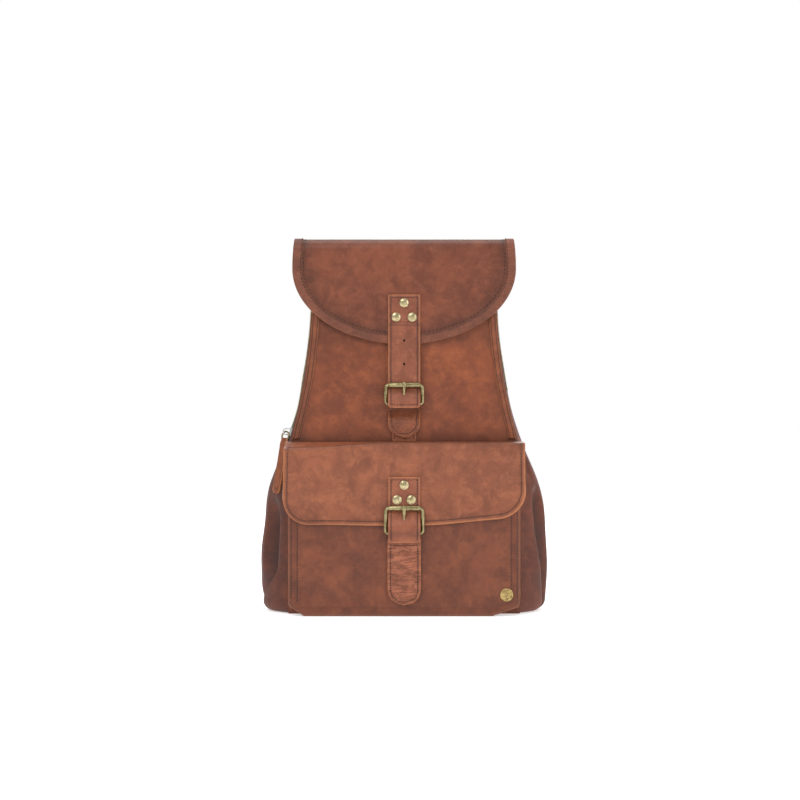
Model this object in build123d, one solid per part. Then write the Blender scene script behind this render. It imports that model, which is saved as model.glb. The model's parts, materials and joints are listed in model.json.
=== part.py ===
from build123d import *
import os
from math import atan2, cos, degrees, hypot, radians, sin

os.makedirs("parts", exist_ok=True)

# A leather backpack with a front pocket. Millimetres, +Z up, the front faces -Y, and the
# origin is on the floor under the middle of the whole object.

# ---- driving dimensions: the body
BODY_DEPTH = 100.0
POCKET_DEPTH = 28.0
LEATHER = 2.2
BAG_WIDTH = 320.0
FRONT_HALVES = tuple(BAG_WIDTH / 320 * half for half in (126.0, 125.5, 124.8, 123.5, 101.0, 98.0))
SIDE_HALVES = tuple(BAG_WIDTH / 320 * half for half in (160.0, 158.0, 151.5, 131.5, 103.0, 100.0))
BACK_HALVES = tuple(BAG_WIDTH / 320 * half for half in (142.0, 140.0, 136.0, 125.0, 102.0, 100.0))
STATIONS = (82.0, 135.0, 186.0, 322.0)
FRONT_TOP = 398.0
SIDE_TOP = 402.0
BACK_TOP = 400.0
FRONT_CORNERS = (6.0, 34.0)
SIDE_CORNERS = (14.0, 36.0)
BACK_CORNERS = (10.0, 34.0)
BULGE_SHARE = 0.45
BASE_LIP = 1.0
SEAM_BAND = (8.0, 1.2)
BAND_INSET = 1.0
BAND_ABOVE_POCKET = 14.0
BOARD = 1.8
BOARD_INSET = 7.0
BOARD_PLAY = 3.0
BOARD_CORNER = 5.0
FOAM = 5.0
FOAM_INSET = 8.0
CLOTH = 0.8

# ---- driving dimensions: the straps and buckles
STRAP_WIDTH = 35.0
STRAP_THICK = 2.2
WIRE = 1.95
ROLLER_RADIUS = 2.75
ROLLER_LENGTH = STRAP_WIDTH - 2.5
MAIN_ROLLER_Z = 248.6
MAIN_PITCH = 20.5
POCKET_ROLLER_Z = 116.5
POCKET_PITCH = 26.8
PRONG_WIDTH = 4.4
PRONG_THICK = 2.6
FRAME_CORNER = 3.4
FRAME_PLAY = 1.0
PRONG_PLAY = 0.15
PRONG_WALL = 1.5
PRONG_PAST_ROLLER = 3.0
PRONG_SLOT_PLAY = 0.5
STRAP_BEND = 4.0
STRAP_CORNER = 3.0
TAB_CORNER = STRAP_WIDTH * 3 / 7
STRIP_WIDTH = STRAP_WIDTH - 9.0
STRIP_THICK = 1.6
TAB_LOW = 191.7
RIVET = (5.0, 2.4)

# ---- driving dimensions: the top flap
FLAP_TOP = 409.0
FLAP_HALF = BACK_HALVES[5] + 21.5
FLAP_SIDE_Z = 375.0
FLAP_TIP_Z = 293.0
BINDING_WIDTH = 9.5
BINDING_WALL = 1.0
FLAP_HINGE_Z = 401.0
MAIN_PATCH_TOP = 347.0
MAIN_STRAP_END = 224.0
MAIN_RIVETS = ((0.0, 338.0), (-8.7, 322.5), (8.7, 322.5))
SPARE_HOLES = (271.5, 296.9)
HOLE_RADIUS = 2.6
FLAP_SEAM_HEIGHT = 6.0
FLAP_SEAM_INSET = 15.0

# ---- driving dimensions: the front pocket
POCKET_HALF = FRONT_HALVES[0] - 0.5
POCKET_TOP = 182.0
POCKET_CORNER = (16.0, 10.0)
POCKET_ROUND = 9.0
WELT = 2.0
POCKET_FLAP_HALF = POCKET_HALF + 4.5
POCKET_FLAP_LOW = 99.5
POCKET_FLAP_CORNER = 28.0
POCKET_FLAP_LEATHER = 2.0
CREASE_Z = 185.6
SEAM_HINGE_Z = 186.9
POCKET_PATCH_TOP = 150.0
POCKET_STRAP_END = 80.0
POCKET_RIVETS = ((0.0, 141.3), (-7.6, 125.5), (7.6, 125.5))
TONGUE_WIDTH = STRAP_WIDTH + 1.0
TONGUE_LOW = 12.5
POPPER_Z = 36.0
POPPER_RADIUS = 5.5
BADGE_AT = (POCKET_HALF - 15.5, 23.0)
BADGE_RADIUS = 7.3
BADGE_THICK = 0.9
BADGE_RIM = 0.7

# ---- driving dimensions: the zip
ZIP_INSET = 14.0
ZIP_SLOT = 7.0
ZIP_LOW_LEFT = 188.0
ZIP_LOW_RIGHT = 246.0
TAPE_TAIL = 5.0
TOOTH_START = 3.0
STOP_REACH = (0.2, 2.8)
STOP_INSET = 0.6
TOOTH_GAP = 0.7
TOOTH_DEPTH = 2.0
MOUTH_HALF = FRONT_HALVES[5] - 10.0
MOUTH_BOW = 0.44 * BODY_DEPTH
SLIDER_Z = 198.0

# ---- driving dimensions: the back
YOKE = (112.0, 100.0, 76.0)
YOKE_LOW = 316.0
YOKE_CORNER = 8.0
YOKE_RIVET = (3.5, 1.6)
HANDLE_Z = 388.0
HANDLE_DROP = 34.0
HANDLE_HALF = 44.0
HANDLE_RADIUS = 4.5
HANDLE_BEND = 15.0
HANDLE_TAPER = 5.0
HANDLE_EYE = (5.0, 9.0)
BRACKET_EAR = (1.6, 5.2)
BRACKET_REACH = 6.4
PIN_RADIUS = 1.55
PAD_TOP = (33.0, 336.0)
STRAP_FOOT = (BACK_HALVES[1] - 24.0, 44.0)
PAD_LENGTH = 196.0
PAD_WIDTH = 50.0
PAD_THICK = 11.0
PAD_CORNER = 9.0
PAD_START = 4.0
ROOT_ROLL = (3.6, 40.0)
ADJUSTER_GAP = 12.0
ADJUSTER_PITCH = 22.0
LOWER_WIDTH = 25.0
LOWER_THICK = 2.4
FREE_END = 44.0
RING = (30.0, 15.0)
RING_WIRE = 1.6

# ---- clearances
SOFT_GAP = 0.4
HINGE_GAP = 0.35
RUN_GAP = 0.05
PART_GAP = 0.2

# ---- levels from front to back, worked out from the sizes above
loop_wall = 1.8
loop_inner = WIRE + HINGE_GAP
loop_outer = loop_inner + loop_wall
pocket_strap_out = POCKET_FLAP_LEATHER + SOFT_GAP + STRAP_THICK
pocket_bar_out = pocket_strap_out + SOFT_GAP + ROLLER_RADIUS
front_stack = POCKET_DEPTH + pocket_bar_out + loop_outer + HINGE_GAP + STRAP_THICK
back_stack = LEATHER + SOFT_GAP + 4 * RING_WIRE + PAD_THICK
Y_FRONT = (front_stack - back_stack - BODY_DEPTH) / 2
Y_BACK = Y_FRONT + BODY_DEPTH
Y_POCKET = Y_FRONT - POCKET_DEPTH
Y_SIDE = Y_FRONT + BULGE_SHARE * BODY_DEPTH
Y_ZIP = Y_FRONT + ZIP_INSET
flap_out = SEAM_BAND[1] + 0.5 + BINDING_WALL
Y_FLAP = Y_FRONT - flap_out - LEATHER / 2
Y_MAIN_STRAP = Y_FLAP - LEATHER / 2 - STRAP_THICK / 2
Y_MAIN_LOW = Y_MAIN_STRAP - BINDING_WALL - 0.1
Y_MAIN_BAR = Y_MAIN_LOW - STRAP_THICK / 2 - SOFT_GAP - ROLLER_RADIUS
Y_POCKET_FLAP = Y_POCKET - SOFT_GAP - POCKET_FLAP_LEATHER / 2
Y_POCKET_STRAP = Y_POCKET - pocket_strap_out + STRAP_THICK / 2
Y_POCKET_BAR = Y_POCKET - pocket_bar_out
MAIN_HEEL_Z = MAIN_ROLLER_Z - MAIN_PITCH
POCKET_HEEL_Z = POCKET_ROLLER_Z - POCKET_PITCH
strap_lift = loop_outer + HINGE_GAP + STRAP_THICK / 2
FAR = 600.0


def save(name, solid):
    export_step(solid, f"parts/{name}.step")


def facing_front(y):
    """A sketch plane at depth y: its x is X, its y is Z, and it faces -Y."""
    return Plane(origin=(0, y, 0), x_dir=(1, 0, 0), z_dir=(0, -1, 0))


def facing_right(x):
    """A sketch plane at x: its x is Y, its y is Z, and it faces +X."""
    return Plane(origin=(x, 0, 0), x_dir=(0, 1, 0), z_dir=(1, 0, 0))


def box_between(low, high):
    size = [h - l for l, h in zip(low, high)]
    middle = [(h + l) / 2 for l, h in zip(low, high)]
    return Pos(*middle) * Box(*size)


def plate(face, y_near, y_far):
    """The face, drawn on X and Z, as a plate from y_near (front) back to y_far."""
    return extrude(facing_front(y_far) * face, y_far - y_near)


def across(face, half_width):
    """The face, drawn on Y and Z, as a bar from -half_width to half_width along X."""
    return extrude(facing_right(-half_width) * face, 2 * half_width)


def lie(points, radii=0):
    return make_face(FilletPolyline(*points, radius=radii, close=True))


def outline(halves, top, corners, inset=0.0):
    """The bag's outline in X and Z, with its base and crown corners rounded."""
    heights = (inset, *STATIONS, top - inset)
    right = [(half - inset, z) for half, z in zip(halves, heights)]
    left = [(-x, z) for x, z in reversed(right)]
    low, crown = (max(r - inset, 1.0) for r in corners)
    radii = [low, 0, 0, 0, 0, crown]
    return lie(right + left, radii + radii[::-1])


def front_outline(inset=0.0):
    return outline(FRONT_HALVES, FRONT_TOP, FRONT_CORNERS, inset)


def side_outline(inset=0.0):
    return outline(SIDE_HALVES, SIDE_TOP, SIDE_CORNERS, inset)


def back_outline(inset=0.0):
    return outline(BACK_HALVES, BACK_TOP, BACK_CORNERS, inset)


def body(inset, y_near, y_far):
    """The bag's full form, drawn in by inset, from y_near back to y_far."""
    sections = [
        facing_front(y_near) * front_outline(inset),
        facing_front(Y_SIDE) * side_outline(inset),
        facing_front(y_far) * back_outline(inset),
    ]
    return loft(sections, ruled=True)


def wall(outer_inset, inner_inset):
    near = Y_FRONT + LEATHER
    far = Y_BACK - LEATHER
    inner = body(inner_inset, near, far)
    ends = plate(front_outline(inner_inset), near - 1, near)
    ends += plate(back_outline(inner_inset), far, far + 1)
    return body(outer_inset, near, far) - inner - ends


# ---- the body's leather panels
front_panel = plate(front_outline(), Y_FRONT, Y_FRONT + LEATHER)
back_panel = plate(back_outline(), Y_BACK - LEATHER, Y_BACK)


def mouth_edge(d):
    """Plan area behind the back edge of the mouth, moved back by d."""
    y = Y_ZIP + d
    edge = [
        Line((-FAR, y), (-MOUTH_HALF, y)),
        ThreePointArc((-MOUTH_HALF, y), (0, y + MOUTH_BOW), (MOUTH_HALF, y)),
        Line((MOUTH_HALF, y), (FAR, y)),
        Polyline((FAR, y), (FAR, FAR), (-FAR, FAR), (-FAR, y)),
    ]
    return make_face(edge)


def front_edge(d):
    """Plan area in front of a straight line that lies d in front of the zip."""
    return Pos(0, Y_ZIP - d - FAR / 2) * Rectangle(2 * FAR, FAR)


def upright(face):
    return extrude(face, FAR)


def above_zip_ends(extra):
    left = box_between((-FAR, -FAR, ZIP_LOW_LEFT - extra), (0, FAR, FAR))
    right = box_between((0, -FAR, ZIP_LOW_RIGHT - extra), (FAR, FAR, FAR))
    return left + right


plan = Rectangle(2 * FAR, 2 * FAR)
slot = upright(plan - front_edge(ZIP_SLOT) - mouth_edge(ZIP_SLOT)) & above_zip_ends(0)
gusset = wall(0.0, LEATHER) - slot
base_flats = [
    (FRONT_HALVES[0] - FRONT_CORNERS[0], Y_FRONT + LEATHER),
    (SIDE_HALVES[0] - SIDE_CORNERS[0], Y_SIDE),
    (BACK_HALVES[0] - BACK_CORNERS[0], Y_BACK - LEATHER),
]
base_right = [(half - BASE_LIP, y) for half, y in base_flats]
base_left = [(-x, y) for x, y in reversed(base_right)]
base_face = make_face(Polyline(*base_right, *base_left, close=True))
base_panel = extrude(base_face, LEATHER)
sides = gusset - extrude(Pos(0, 0, -1) * base_face, LEATHER + 1)
gusset_left = split(sides, bisect_by=Plane.YZ, keep=Keep.BOTTOM)
gusset_right = split(sides, bisect_by=Plane.YZ, keep=Keep.TOP)

save("front_panel", front_panel)
save("back_panel", back_panel)
save("base_panel", base_panel)
save("gusset_left", gusset_left)
save("gusset_right", gusset_right)

# ---- the board, the foam and the lining inside
lining_inset = LEATHER + BOARD + PART_GAP
board_face = Pos(0, (Y_FRONT + Y_BACK) / 2) * RectangleRounded(
    2 * (FRONT_HALVES[0] - BOARD_INSET), BODY_DEPTH - 2 * (LEATHER + BOARD_PLAY), BOARD_CORNER
)
base_board = extrude(Pos(0, 0, LEATHER + PART_GAP / 2) * board_face, BOARD)
foam_far = Y_BACK - LEATHER
back_foam = plate(back_outline(lining_inset + FOAM_INSET), foam_far - FOAM, foam_far)
lining_near = Y_FRONT + LEATHER + PART_GAP
lining_far = foam_far - FOAM - PART_GAP
lining = body(lining_inset, lining_near, lining_far)
lining -= body(lining_inset + CLOTH, lining_near + CLOTH, lining_far - CLOTH)
lining -= slot
save("base_board", base_board)
save("back_foam", back_foam)
save("lining", lining)

# ---- raised seam bands down both edges of the front panel, above the pocket
band_width, band_thick = SEAM_BAND
band_face = front_outline(BAND_INSET) - front_outline(BAND_INSET + band_width)
band_face &= Pos(0, POCKET_TOP + BAND_ABOVE_POCKET + FAR / 2) * Rectangle(2 * FAR, FAR)
seam_bands = plate(band_face, Y_FRONT - band_thick, Y_FRONT)
save("seam_band_left", split(seam_bands, bisect_by=Plane.YZ, keep=Keep.BOTTOM))
save("seam_band_right", split(seam_bands, bisect_by=Plane.YZ, keep=Keep.TOP))

# ---- the main zip: two cloth tapes, two rows of teeth and the stops
tape_tuck = 4.0
tape_wall = wall(LEATHER, LEATHER + CLOTH) & above_zip_ends(TAPE_TAIL)
tooth_wall = wall(LEATHER - CLOTH, LEATHER + 2 * CLOTH) & above_zip_ends(-TOOTH_START)
row = TOOTH_GAP + TOOTH_DEPTH
front_row = upright(front_edge(TOOTH_GAP) - front_edge(row))
back_row = upright(mouth_edge(TOOTH_GAP) - mouth_edge(row))
front_tape = upright(front_edge(row) - front_edge(ZIP_SLOT + tape_tuck))
back_tape = upright(mouth_edge(row) - mouth_edge(ZIP_SLOT + tape_tuck))
save("zip_tape_front", tape_wall & front_tape)
save("zip_tape_back", tape_wall & back_tape)
save("zip_teeth_front", tooth_wall & front_row)
save("zip_teeth_back", tooth_wall & back_row)

stop_zone = upright(Pos(0, Y_ZIP) * Rectangle(2 * FAR, 2 * row))
stop_low, stop_high = STOP_REACH
stop_left = box_between((-FAR, -FAR, ZIP_LOW_LEFT + stop_low), (0, FAR, ZIP_LOW_LEFT + stop_high))
stop_right = box_between((0, -FAR, ZIP_LOW_RIGHT + stop_low), (FAR, FAR, ZIP_LOW_RIGHT + stop_high))
zip_stops = wall(STOP_INSET, LEATHER + 2 * CLOTH) & stop_zone & (stop_left + stop_right)
save("zip_stops", zip_stops)

# ---- the zip slider, which runs up the straight left side


def edge_half(halves, z):
    low, high = STATIONS[2:]
    return halves[3] + (halves[4] - halves[3]) * (z - low) / (high - low)


def zip_point(z):
    share = (Y_ZIP - Y_FRONT - LEATHER) / (Y_SIDE - Y_FRONT - LEATHER)
    front_half = edge_half(FRONT_HALVES, z)
    return Vector(-front_half - (edge_half(SIDE_HALVES, z) - front_half) * share, Y_ZIP, z)


slope_reach = 50.0
slider_base = zip_point(SLIDER_Z)
run = (zip_point(STATIONS[3]) - slider_base).normalized()
slope_z = SLIDER_Z + slope_reach
spread = edge_half(SIDE_HALVES, slope_z) - edge_half(FRONT_HALVES, slope_z)
cross = Vector(-spread, Y_SIDE - Y_FRONT, 0).normalized()
outward = cross.cross(run).normalized()
if outward.X > 0:
    outward = outward * -1
slider_plane = Plane(origin=slider_base, x_dir=run, z_dir=outward)
lid_reach, lid_half = 5.0, 4.2
foot_reach, foot_half = 4.0, 3.4
wedge_low, wedge_high = 1.0, 4.6
lid_low, lid_high = -LEATHER + 2 * CLOTH + 0.3, 1.5
foot_high, foot_low = -LEATHER - 2 * CLOTH - 0.9, -LEATHER - 2 * CLOTH - 2.1
slider = slider_plane * box_between((-lid_reach, -lid_half, lid_low), (lid_reach, lid_half, lid_high))
slider += slider_plane * box_between(
    (-foot_reach, -foot_half, foot_low), (foot_reach, foot_half, foot_high)
)
wedge_plane = Plane(origin=slider_base, x_dir=run, z_dir=Vector(0, 1, 0).cross(run) * -1)
wedge_half = TOOTH_GAP - HINGE_GAP
slider += wedge_plane * box_between(
    (wedge_low, -wedge_half, foot_low), (wedge_high, wedge_half, lid_low)
)
bail_at = -1.0
bail_rise = 4.0
bail_sink = 0.1
bail_wide = 3.9
bail_hole = 2.7
bail_thick = 1.4
bail_side = Pos(0, bail_rise / 2) * Rectangle(2 * bail_wide, bail_rise)
bail_side += Pos(0, bail_rise) * Circle(bail_wide)
bail_side -= Pos(0, bail_rise / 2) * Rectangle(2 * bail_hole, bail_rise)
bail_side -= Pos(0, bail_rise) * Circle(bail_hole)
bail_side &= Pos(0, FAR / 2 - bail_sink) * Rectangle(FAR, FAR)
bail_turn = slider_plane * Pos(bail_at, 0, lid_high) * Rot(90, 0, 0)
slider += bail_turn * extrude(bail_side, bail_thick / 2, both=True)
save("zip_slider", slider)

# ---- the ring and leather puller that hang from the slider's bail
pull_wire = 0.95
bail_play = 1.6
pull_ring = 5.4
pull_length = 62.0
pull_width = 12.0
pull_thick = 3.0
pull_round = 5.0
ring_cover = 3.6
pull_lean = 12.0
pull_facing = 45.0
eye_height = lid_high + bail_rise + bail_hole - pull_wire - bail_play
pivot = (slider_plane * Pos(bail_at, 0, eye_height)).position
lean = radians(pull_lean)
facing = Vector(-cos(radians(pull_facing)), -sin(radians(pull_facing)), 0)
hinge_line = Vector(0, 0, 1).cross(facing)
hang_out = facing * cos(lean) + Vector(0, 0, 1) * sin(lean)
hang_down = Plane(origin=pivot, x_dir=hinge_line, z_dir=hang_out)
ring_centre = Pos(0, -pull_ring, 0)
puller_ring = hang_down * ring_centre * Torus(pull_ring, pull_wire)
puller_top = -2 * pull_ring + ring_cover
tab_face = Pos(0, puller_top - pull_length / 2) * Rectangle(pull_width, pull_length)
tab_face = fillet(tab_face.vertices().group_by(Axis.Y)[0], pull_round)
tab_slab = extrude(tab_face, pull_thick / 2, both=True)
tab_slab -= ring_centre * Torus(pull_ring, pull_wire + SOFT_GAP)
puller_tab = hang_down * tab_slab
save("puller_ring", puller_ring)
save("puller_tab", puller_tab)


# ---- ribbons of leather, bent in Y and Z


def ribbon(points, bend, width, thick):
    """A strap of one thickness that follows points of (y, z), with rounded bends."""
    spots = [(0, y, z) for y, z in points]
    path = FilletPolyline(*spots, radius=bend) if len(spots) > 2 else Line(*spots)
    section = Plane(origin=path @ 0, x_dir=(1, 0, 0), z_dir=path % 0) * Rectangle(width, thick)
    return sweep(section, path)


def rivet(radius, height):
    """A domed cap that stands on the XY plane."""
    rim = 0.7
    dome = height - rim
    ball = (radius**2 + dome**2) / (2 * dome)
    cap = Pos(0, 0, height - ball) * Sphere(ball)
    return cap & Pos(0, 0, height / 2) * Cylinder(radius, height)


def on_front(x, y, z, solid):
    """Stand a solid made on the XY plane at (x, y, z), pointing to the front."""
    return Pos(x, y, z) * Rot(90, 0, 0) * solid


def on_back(x, y, z, solid):
    return Pos(x, y, z) * Rot(-90, 0, 0) * solid


# ---- the top flap: leather, lining and a binding round its edge


def flap_face(inset):
    half = FLAP_HALF - inset
    low = FLAP_TIP_Z + inset
    drop = FLAP_SIDE_Z - low
    slant = cos(radians(45))
    right = ThreePointArc(
        (half, FLAP_SIDE_Z), (half * slant, FLAP_SIDE_Z - drop * slant), (0, low)
    )
    left = ThreePointArc(
        (0, low), (-half * slant, FLAP_SIDE_Z - drop * slant), (-half, FLAP_SIDE_Z)
    )
    cap = Polyline((-half, FLAP_SIDE_Z), (-half, FAR), (half, FAR), (half, FLAP_SIDE_Z))
    return make_face([right, left, cap])


flap_z = FLAP_TOP - LEATHER / 2 - BINDING_WALL
flap_back = Y_BACK + SOFT_GAP + BINDING_WALL + LEATHER / 2


def flap_route(depth):
    """The flap's bent line, depth behind the middle of its leather."""
    return [
        (flap_back - depth, FLAP_HINGE_Z),
        (flap_back - depth, flap_z - depth),
        (Y_FLAP + depth, flap_z - depth),
        (Y_FLAP + depth, FLAP_TIP_Z - 2 * BINDING_WALL),
    ]


flap_bends = [5.0, 12.0]
leather_run = ribbon(flap_route(0), flap_bends, 3 * FLAP_HALF, LEATHER)
thick_run = ribbon(flap_route(0), flap_bends, 3 * FLAP_HALF, LEATHER + 2 * BINDING_WALL)
lining_depth = LEATHER / 2 + CLOTH / 2
lining_bends = [flap_bends[0] - lining_depth, flap_bends[1] - lining_depth]
lining_run = ribbon(flap_route(lining_depth), lining_bends, 3 * FLAP_HALF, CLOTH)


def through(face):
    return plate(face, -FAR, FAR)


flap_leather = leather_run & through(flap_face(BINDING_WALL))
flap_lining = lining_run & through(flap_face(BINDING_WIDTH + PART_GAP))
flap_binding = thick_run & through(flap_face(0))
flap_binding -= through(flap_face(BINDING_WIDTH))
flap_binding -= flap_leather
save("flap_leather", flap_leather)
save("flap_lining", flap_lining)
save("flap_binding", flap_binding)


flap_seam_high = FLAP_HINGE_Z - LEATHER / 2 - BINDING_WALL - SOFT_GAP
flap_seam_face = Pos(0, flap_seam_high - FLAP_SEAM_HEIGHT / 2) * Rectangle(
    2 * (BACK_HALVES[5] - FLAP_SEAM_INSET), FLAP_SEAM_HEIGHT
)
save("flap_seam", plate(flap_seam_face, Y_BACK, Y_BACK + LEATHER))


# ---- prongs: a ring on the heel bar and an arm that rests on the roller


def prong_face(heel, rest, grow):
    """The prong's side view. heel and rest are (y, z) of the bar and of its tip."""
    bore = WIRE + PRONG_PLAY
    hub = bore + PRONG_WALL + grow
    dy, dz = rest[0] - heel[0], rest[1] - heel[1]
    length = hypot(dy, dz)
    half = PRONG_THICK / 2 + grow
    arm = Pos(length / 2, 0) * Rectangle(length + 2 * grow, 2 * half)
    arm = fillet(arm.vertices().group_by(Axis.X)[-1], half * 0.9)
    side = (arm + Circle(hub)) - Circle(bore)
    return Pos(*heel) * Rot(0, 0, degrees(atan2(dz, dy))) * side


def prong(heel, rest, grow=0.0):
    return across(prong_face(heel, rest, grow), PRONG_WIDTH / 2 + grow)


def prong_rest(bar_y, roller_z, pitch):
    """Where the prong's tip ends, so that its arm just clears the roller."""
    reach = ROLLER_RADIUS + HINGE_GAP + PRONG_THICK / 2 + PRONG_PLAY
    slope = (pitch + PRONG_PAST_ROLLER) / pitch
    return (bar_y - reach * slope, roller_z + PRONG_PAST_ROLLER)


def buckle_frame(bar_y, heel_z, roller_z):
    """A wire frame round the strap, from the heel bar up to the roller's bar."""
    inside = STRAP_WIDTH + FRAME_PLAY
    path = RectangleRounded(inside + 2 * WIRE, roller_z - heel_z, FRAME_CORNER).wire()
    centre = Plane(
        origin=(0, bar_y, (heel_z + roller_z) / 2), x_dir=(1, 0, 0), z_dir=(0, -1, 0)
    )
    placed = centre * path
    start = Plane(origin=placed @ 0, z_dir=placed % 0)
    return sweep(start * Circle(WIRE), placed)


def roller(bar_y, z):
    tube = Circle(ROLLER_RADIUS) - Circle(WIRE + RUN_GAP)
    return across(Pos(bar_y, z) * tube, ROLLER_LENGTH / 2)


def heel_loop(bar_y, heel_z, root_y, root_thick, low_z, width):
    """Leather folded round the heel bar, with a slot for the prong, down to low_z."""
    ring = Pos(bar_y, heel_z) * Circle(loop_outer)
    neck_long = 5 * STRAP_THICK
    rear = root_y + root_thick / 2
    front = root_y - root_thick / 2
    neck = make_face(
        Polyline(
            (rear, heel_z + 1),
            (rear, low_z),
            (front, low_z),
            (front, heel_z - neck_long),
            (bar_y - loop_outer * 0.7, heel_z - loop_outer * 0.7),
            (bar_y, heel_z + loop_outer * 0.9),
            (rear, heel_z + 1),
        )
    )
    hole = Pos(bar_y, heel_z) * Circle(loop_inner)
    solid = across((ring + neck) - hole, width / 2)
    bar_half = (STRAP_WIDTH + FRAME_PLAY) / 2 + WIRE - FRAME_CORNER - SOFT_GAP
    shoulder = heel_z - loop_outer - 1.5
    for side in (-1, 1):
        ends = sorted((side * bar_half, side * FAR))
        solid -= box_between((ends[0], -FAR, shoulder), (ends[1], FAR, FAR))
    gap = PRONG_WIDTH / 2 + PRONG_SLOT_PLAY
    slot_low = heel_z - loop_outer - 2.5
    prong_slot = box_between((-gap, -FAR, slot_low), (gap, FAR, heel_z + FAR))
    return solid - prong_slot


def strap_end(width, low_z, radius, top_z):
    """A strip from top_z down to low_z, with its lower corners rounded."""
    face = Pos(0, (low_z + top_z) / 2) * Rectangle(width, top_z - low_z)
    return fillet(face.vertices().group_by(Axis.Y)[0], radius)


# ---- the main closure: a strap on the flap and a roller buckle on the front panel
main_heel = (Y_MAIN_BAR, MAIN_HEEL_Z)
main_rest = prong_rest(Y_MAIN_BAR, MAIN_ROLLER_Z, MAIN_PITCH)
main_route = [
    (Y_MAIN_STRAP, MAIN_PATCH_TOP),
    (Y_MAIN_STRAP, FLAP_TIP_Z + BINDING_WIDTH + 12),
    (Y_MAIN_LOW, FLAP_TIP_Z + BINDING_WIDTH + 2),
    (Y_MAIN_LOW, MAIN_ROLLER_Z - 2),
    (Y_MAIN_BAR - strap_lift, MAIN_HEEL_Z + 4),
    (Y_MAIN_BAR - strap_lift, MAIN_STRAP_END),
]
flap_strap = ribbon(main_route, STRAP_BEND, STRAP_WIDTH, STRAP_THICK)
flap_strap &= through(strap_end(STRAP_WIDTH, MAIN_STRAP_END, STRAP_CORNER, MAIN_PATCH_TOP))
for z in SPARE_HOLES:
    flap_strap -= on_front(0, Y_MAIN_STRAP, z, Cylinder(HOLE_RADIUS, 4 * STRAP_THICK))
flap_strap -= prong(main_heel, main_rest, grow=SOFT_GAP)
save("flap_strap", flap_strap)

flap_rivets = Part() + [
    on_front(x, Y_MAIN_STRAP - STRAP_THICK / 2, z, rivet(*RIVET)) for x, z in MAIN_RIVETS
]
save("flap_rivets", flap_rivets)

save("main_buckle_frame", buckle_frame(Y_MAIN_BAR, MAIN_HEEL_Z, MAIN_ROLLER_Z))
save("main_prong", prong(main_heel, main_rest))
save("main_roller", roller(Y_MAIN_BAR, MAIN_ROLLER_Z))

strip_low = SEAM_HINGE_Z + 1.3
strip_high = MAIN_HEEL_Z - 6
y_tab = Y_FRONT - STRIP_THICK - STRAP_THICK / 2
tab_top = MAIN_HEEL_Z + loop_outer + 2
strip_face = Pos(0, (strip_low + strip_high) / 2) * Rectangle(STRIP_WIDTH, strip_high - strip_low)
tab_strip = plate(strip_face, Y_FRONT - STRIP_THICK, Y_FRONT)
buckle_tab = heel_loop(Y_MAIN_BAR, MAIN_HEEL_Z, y_tab, STRAP_THICK, TAB_LOW, STRAP_WIDTH)
buckle_tab &= through(strap_end(STRAP_WIDTH, TAB_LOW, TAB_CORNER, tab_top))
save("tab_strip", tab_strip)
save("buckle_tab", buckle_tab)

# ---- the front pocket


def pocket_outline(inset):
    half = POCKET_HALF - inset
    cut_x, cut_z = POCKET_CORNER
    right = [(half - cut_x, inset), (half, inset + cut_z), (half, POCKET_TOP)]
    left = [(-x, z) for x, z in reversed(right)]
    corner = [POCKET_ROUND] * 2
    return lie(right + left, corner + [0, 0] + corner)


def pocket_cavity(inset):
    up = Pos(0, POCKET_TOP) * Rectangle(2 * (POCKET_HALF - inset), POCKET_DEPTH)
    return pocket_outline(inset) + up


pocket_front = plate(pocket_outline(0), Y_POCKET, Y_POCKET + LEATHER)
pocket_gusset = plate(
    pocket_outline(0) - pocket_cavity(LEATHER), Y_POCKET + LEATHER, Y_FRONT
)
cloth_out = LEATHER + PART_GAP
pocket_lining = plate(
    pocket_outline(cloth_out), Y_POCKET + cloth_out, Y_FRONT - PART_GAP
)
pocket_lining -= plate(
    pocket_cavity(cloth_out + CLOTH),
    Y_POCKET + cloth_out + CLOTH,
    Y_FRONT - PART_GAP - CLOTH,
)
save("pocket_front", pocket_front)
save("pocket_gusset", pocket_gusset)
save("pocket_lining", pocket_lining)

STANDING = (Align.CENTER, Align.CENTER, Align.MIN)
badge = Cylinder(BADGE_RADIUS, BADGE_THICK, align=STANDING)
badge += Pos(0, 0, BADGE_THICK) * Torus(BADGE_RADIUS - BADGE_THICK, BADGE_RIM)
badge &= Cylinder(2 * BADGE_RADIUS, 4 * BADGE_THICK, align=STANDING)
save("badge", on_front(BADGE_AT[0], Y_POCKET, BADGE_AT[1], badge))

# ---- the pocket's flap: a strip over the mouth, then the front flap below its crease
seam_axis = (Y_FRONT - 3.4, SEAM_HINGE_Z)
crease_axis = (Y_POCKET_FLAP, CREASE_Z)
bead = POCKET_FLAP_LEATHER / 2 + 0.1
welt_low = POCKET_TOP + SOFT_GAP
welt_high = SEAM_HINGE_Z + 0.6
welt_face = Pos(0, (welt_low + welt_high) / 2) * Rectangle(
    2 * POCKET_HALF - 4, welt_high - welt_low
)
welt = plate(welt_face, Y_FRONT - WELT, Y_FRONT)
save("pocket_flap_welt", welt)
cover_front = crease_axis[0] + bead + HINGE_GAP
cover_middle = (cover_front + seam_axis[0]) / 2
cover_face = Pos(cover_middle, CREASE_Z) * Rectangle(
    seam_axis[0] - cover_front, POCKET_FLAP_LEATHER
)
cover_face += Pos(*seam_axis) * Circle(bead)
save("pocket_flap_top", across(cover_face, POCKET_FLAP_HALF))

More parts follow.
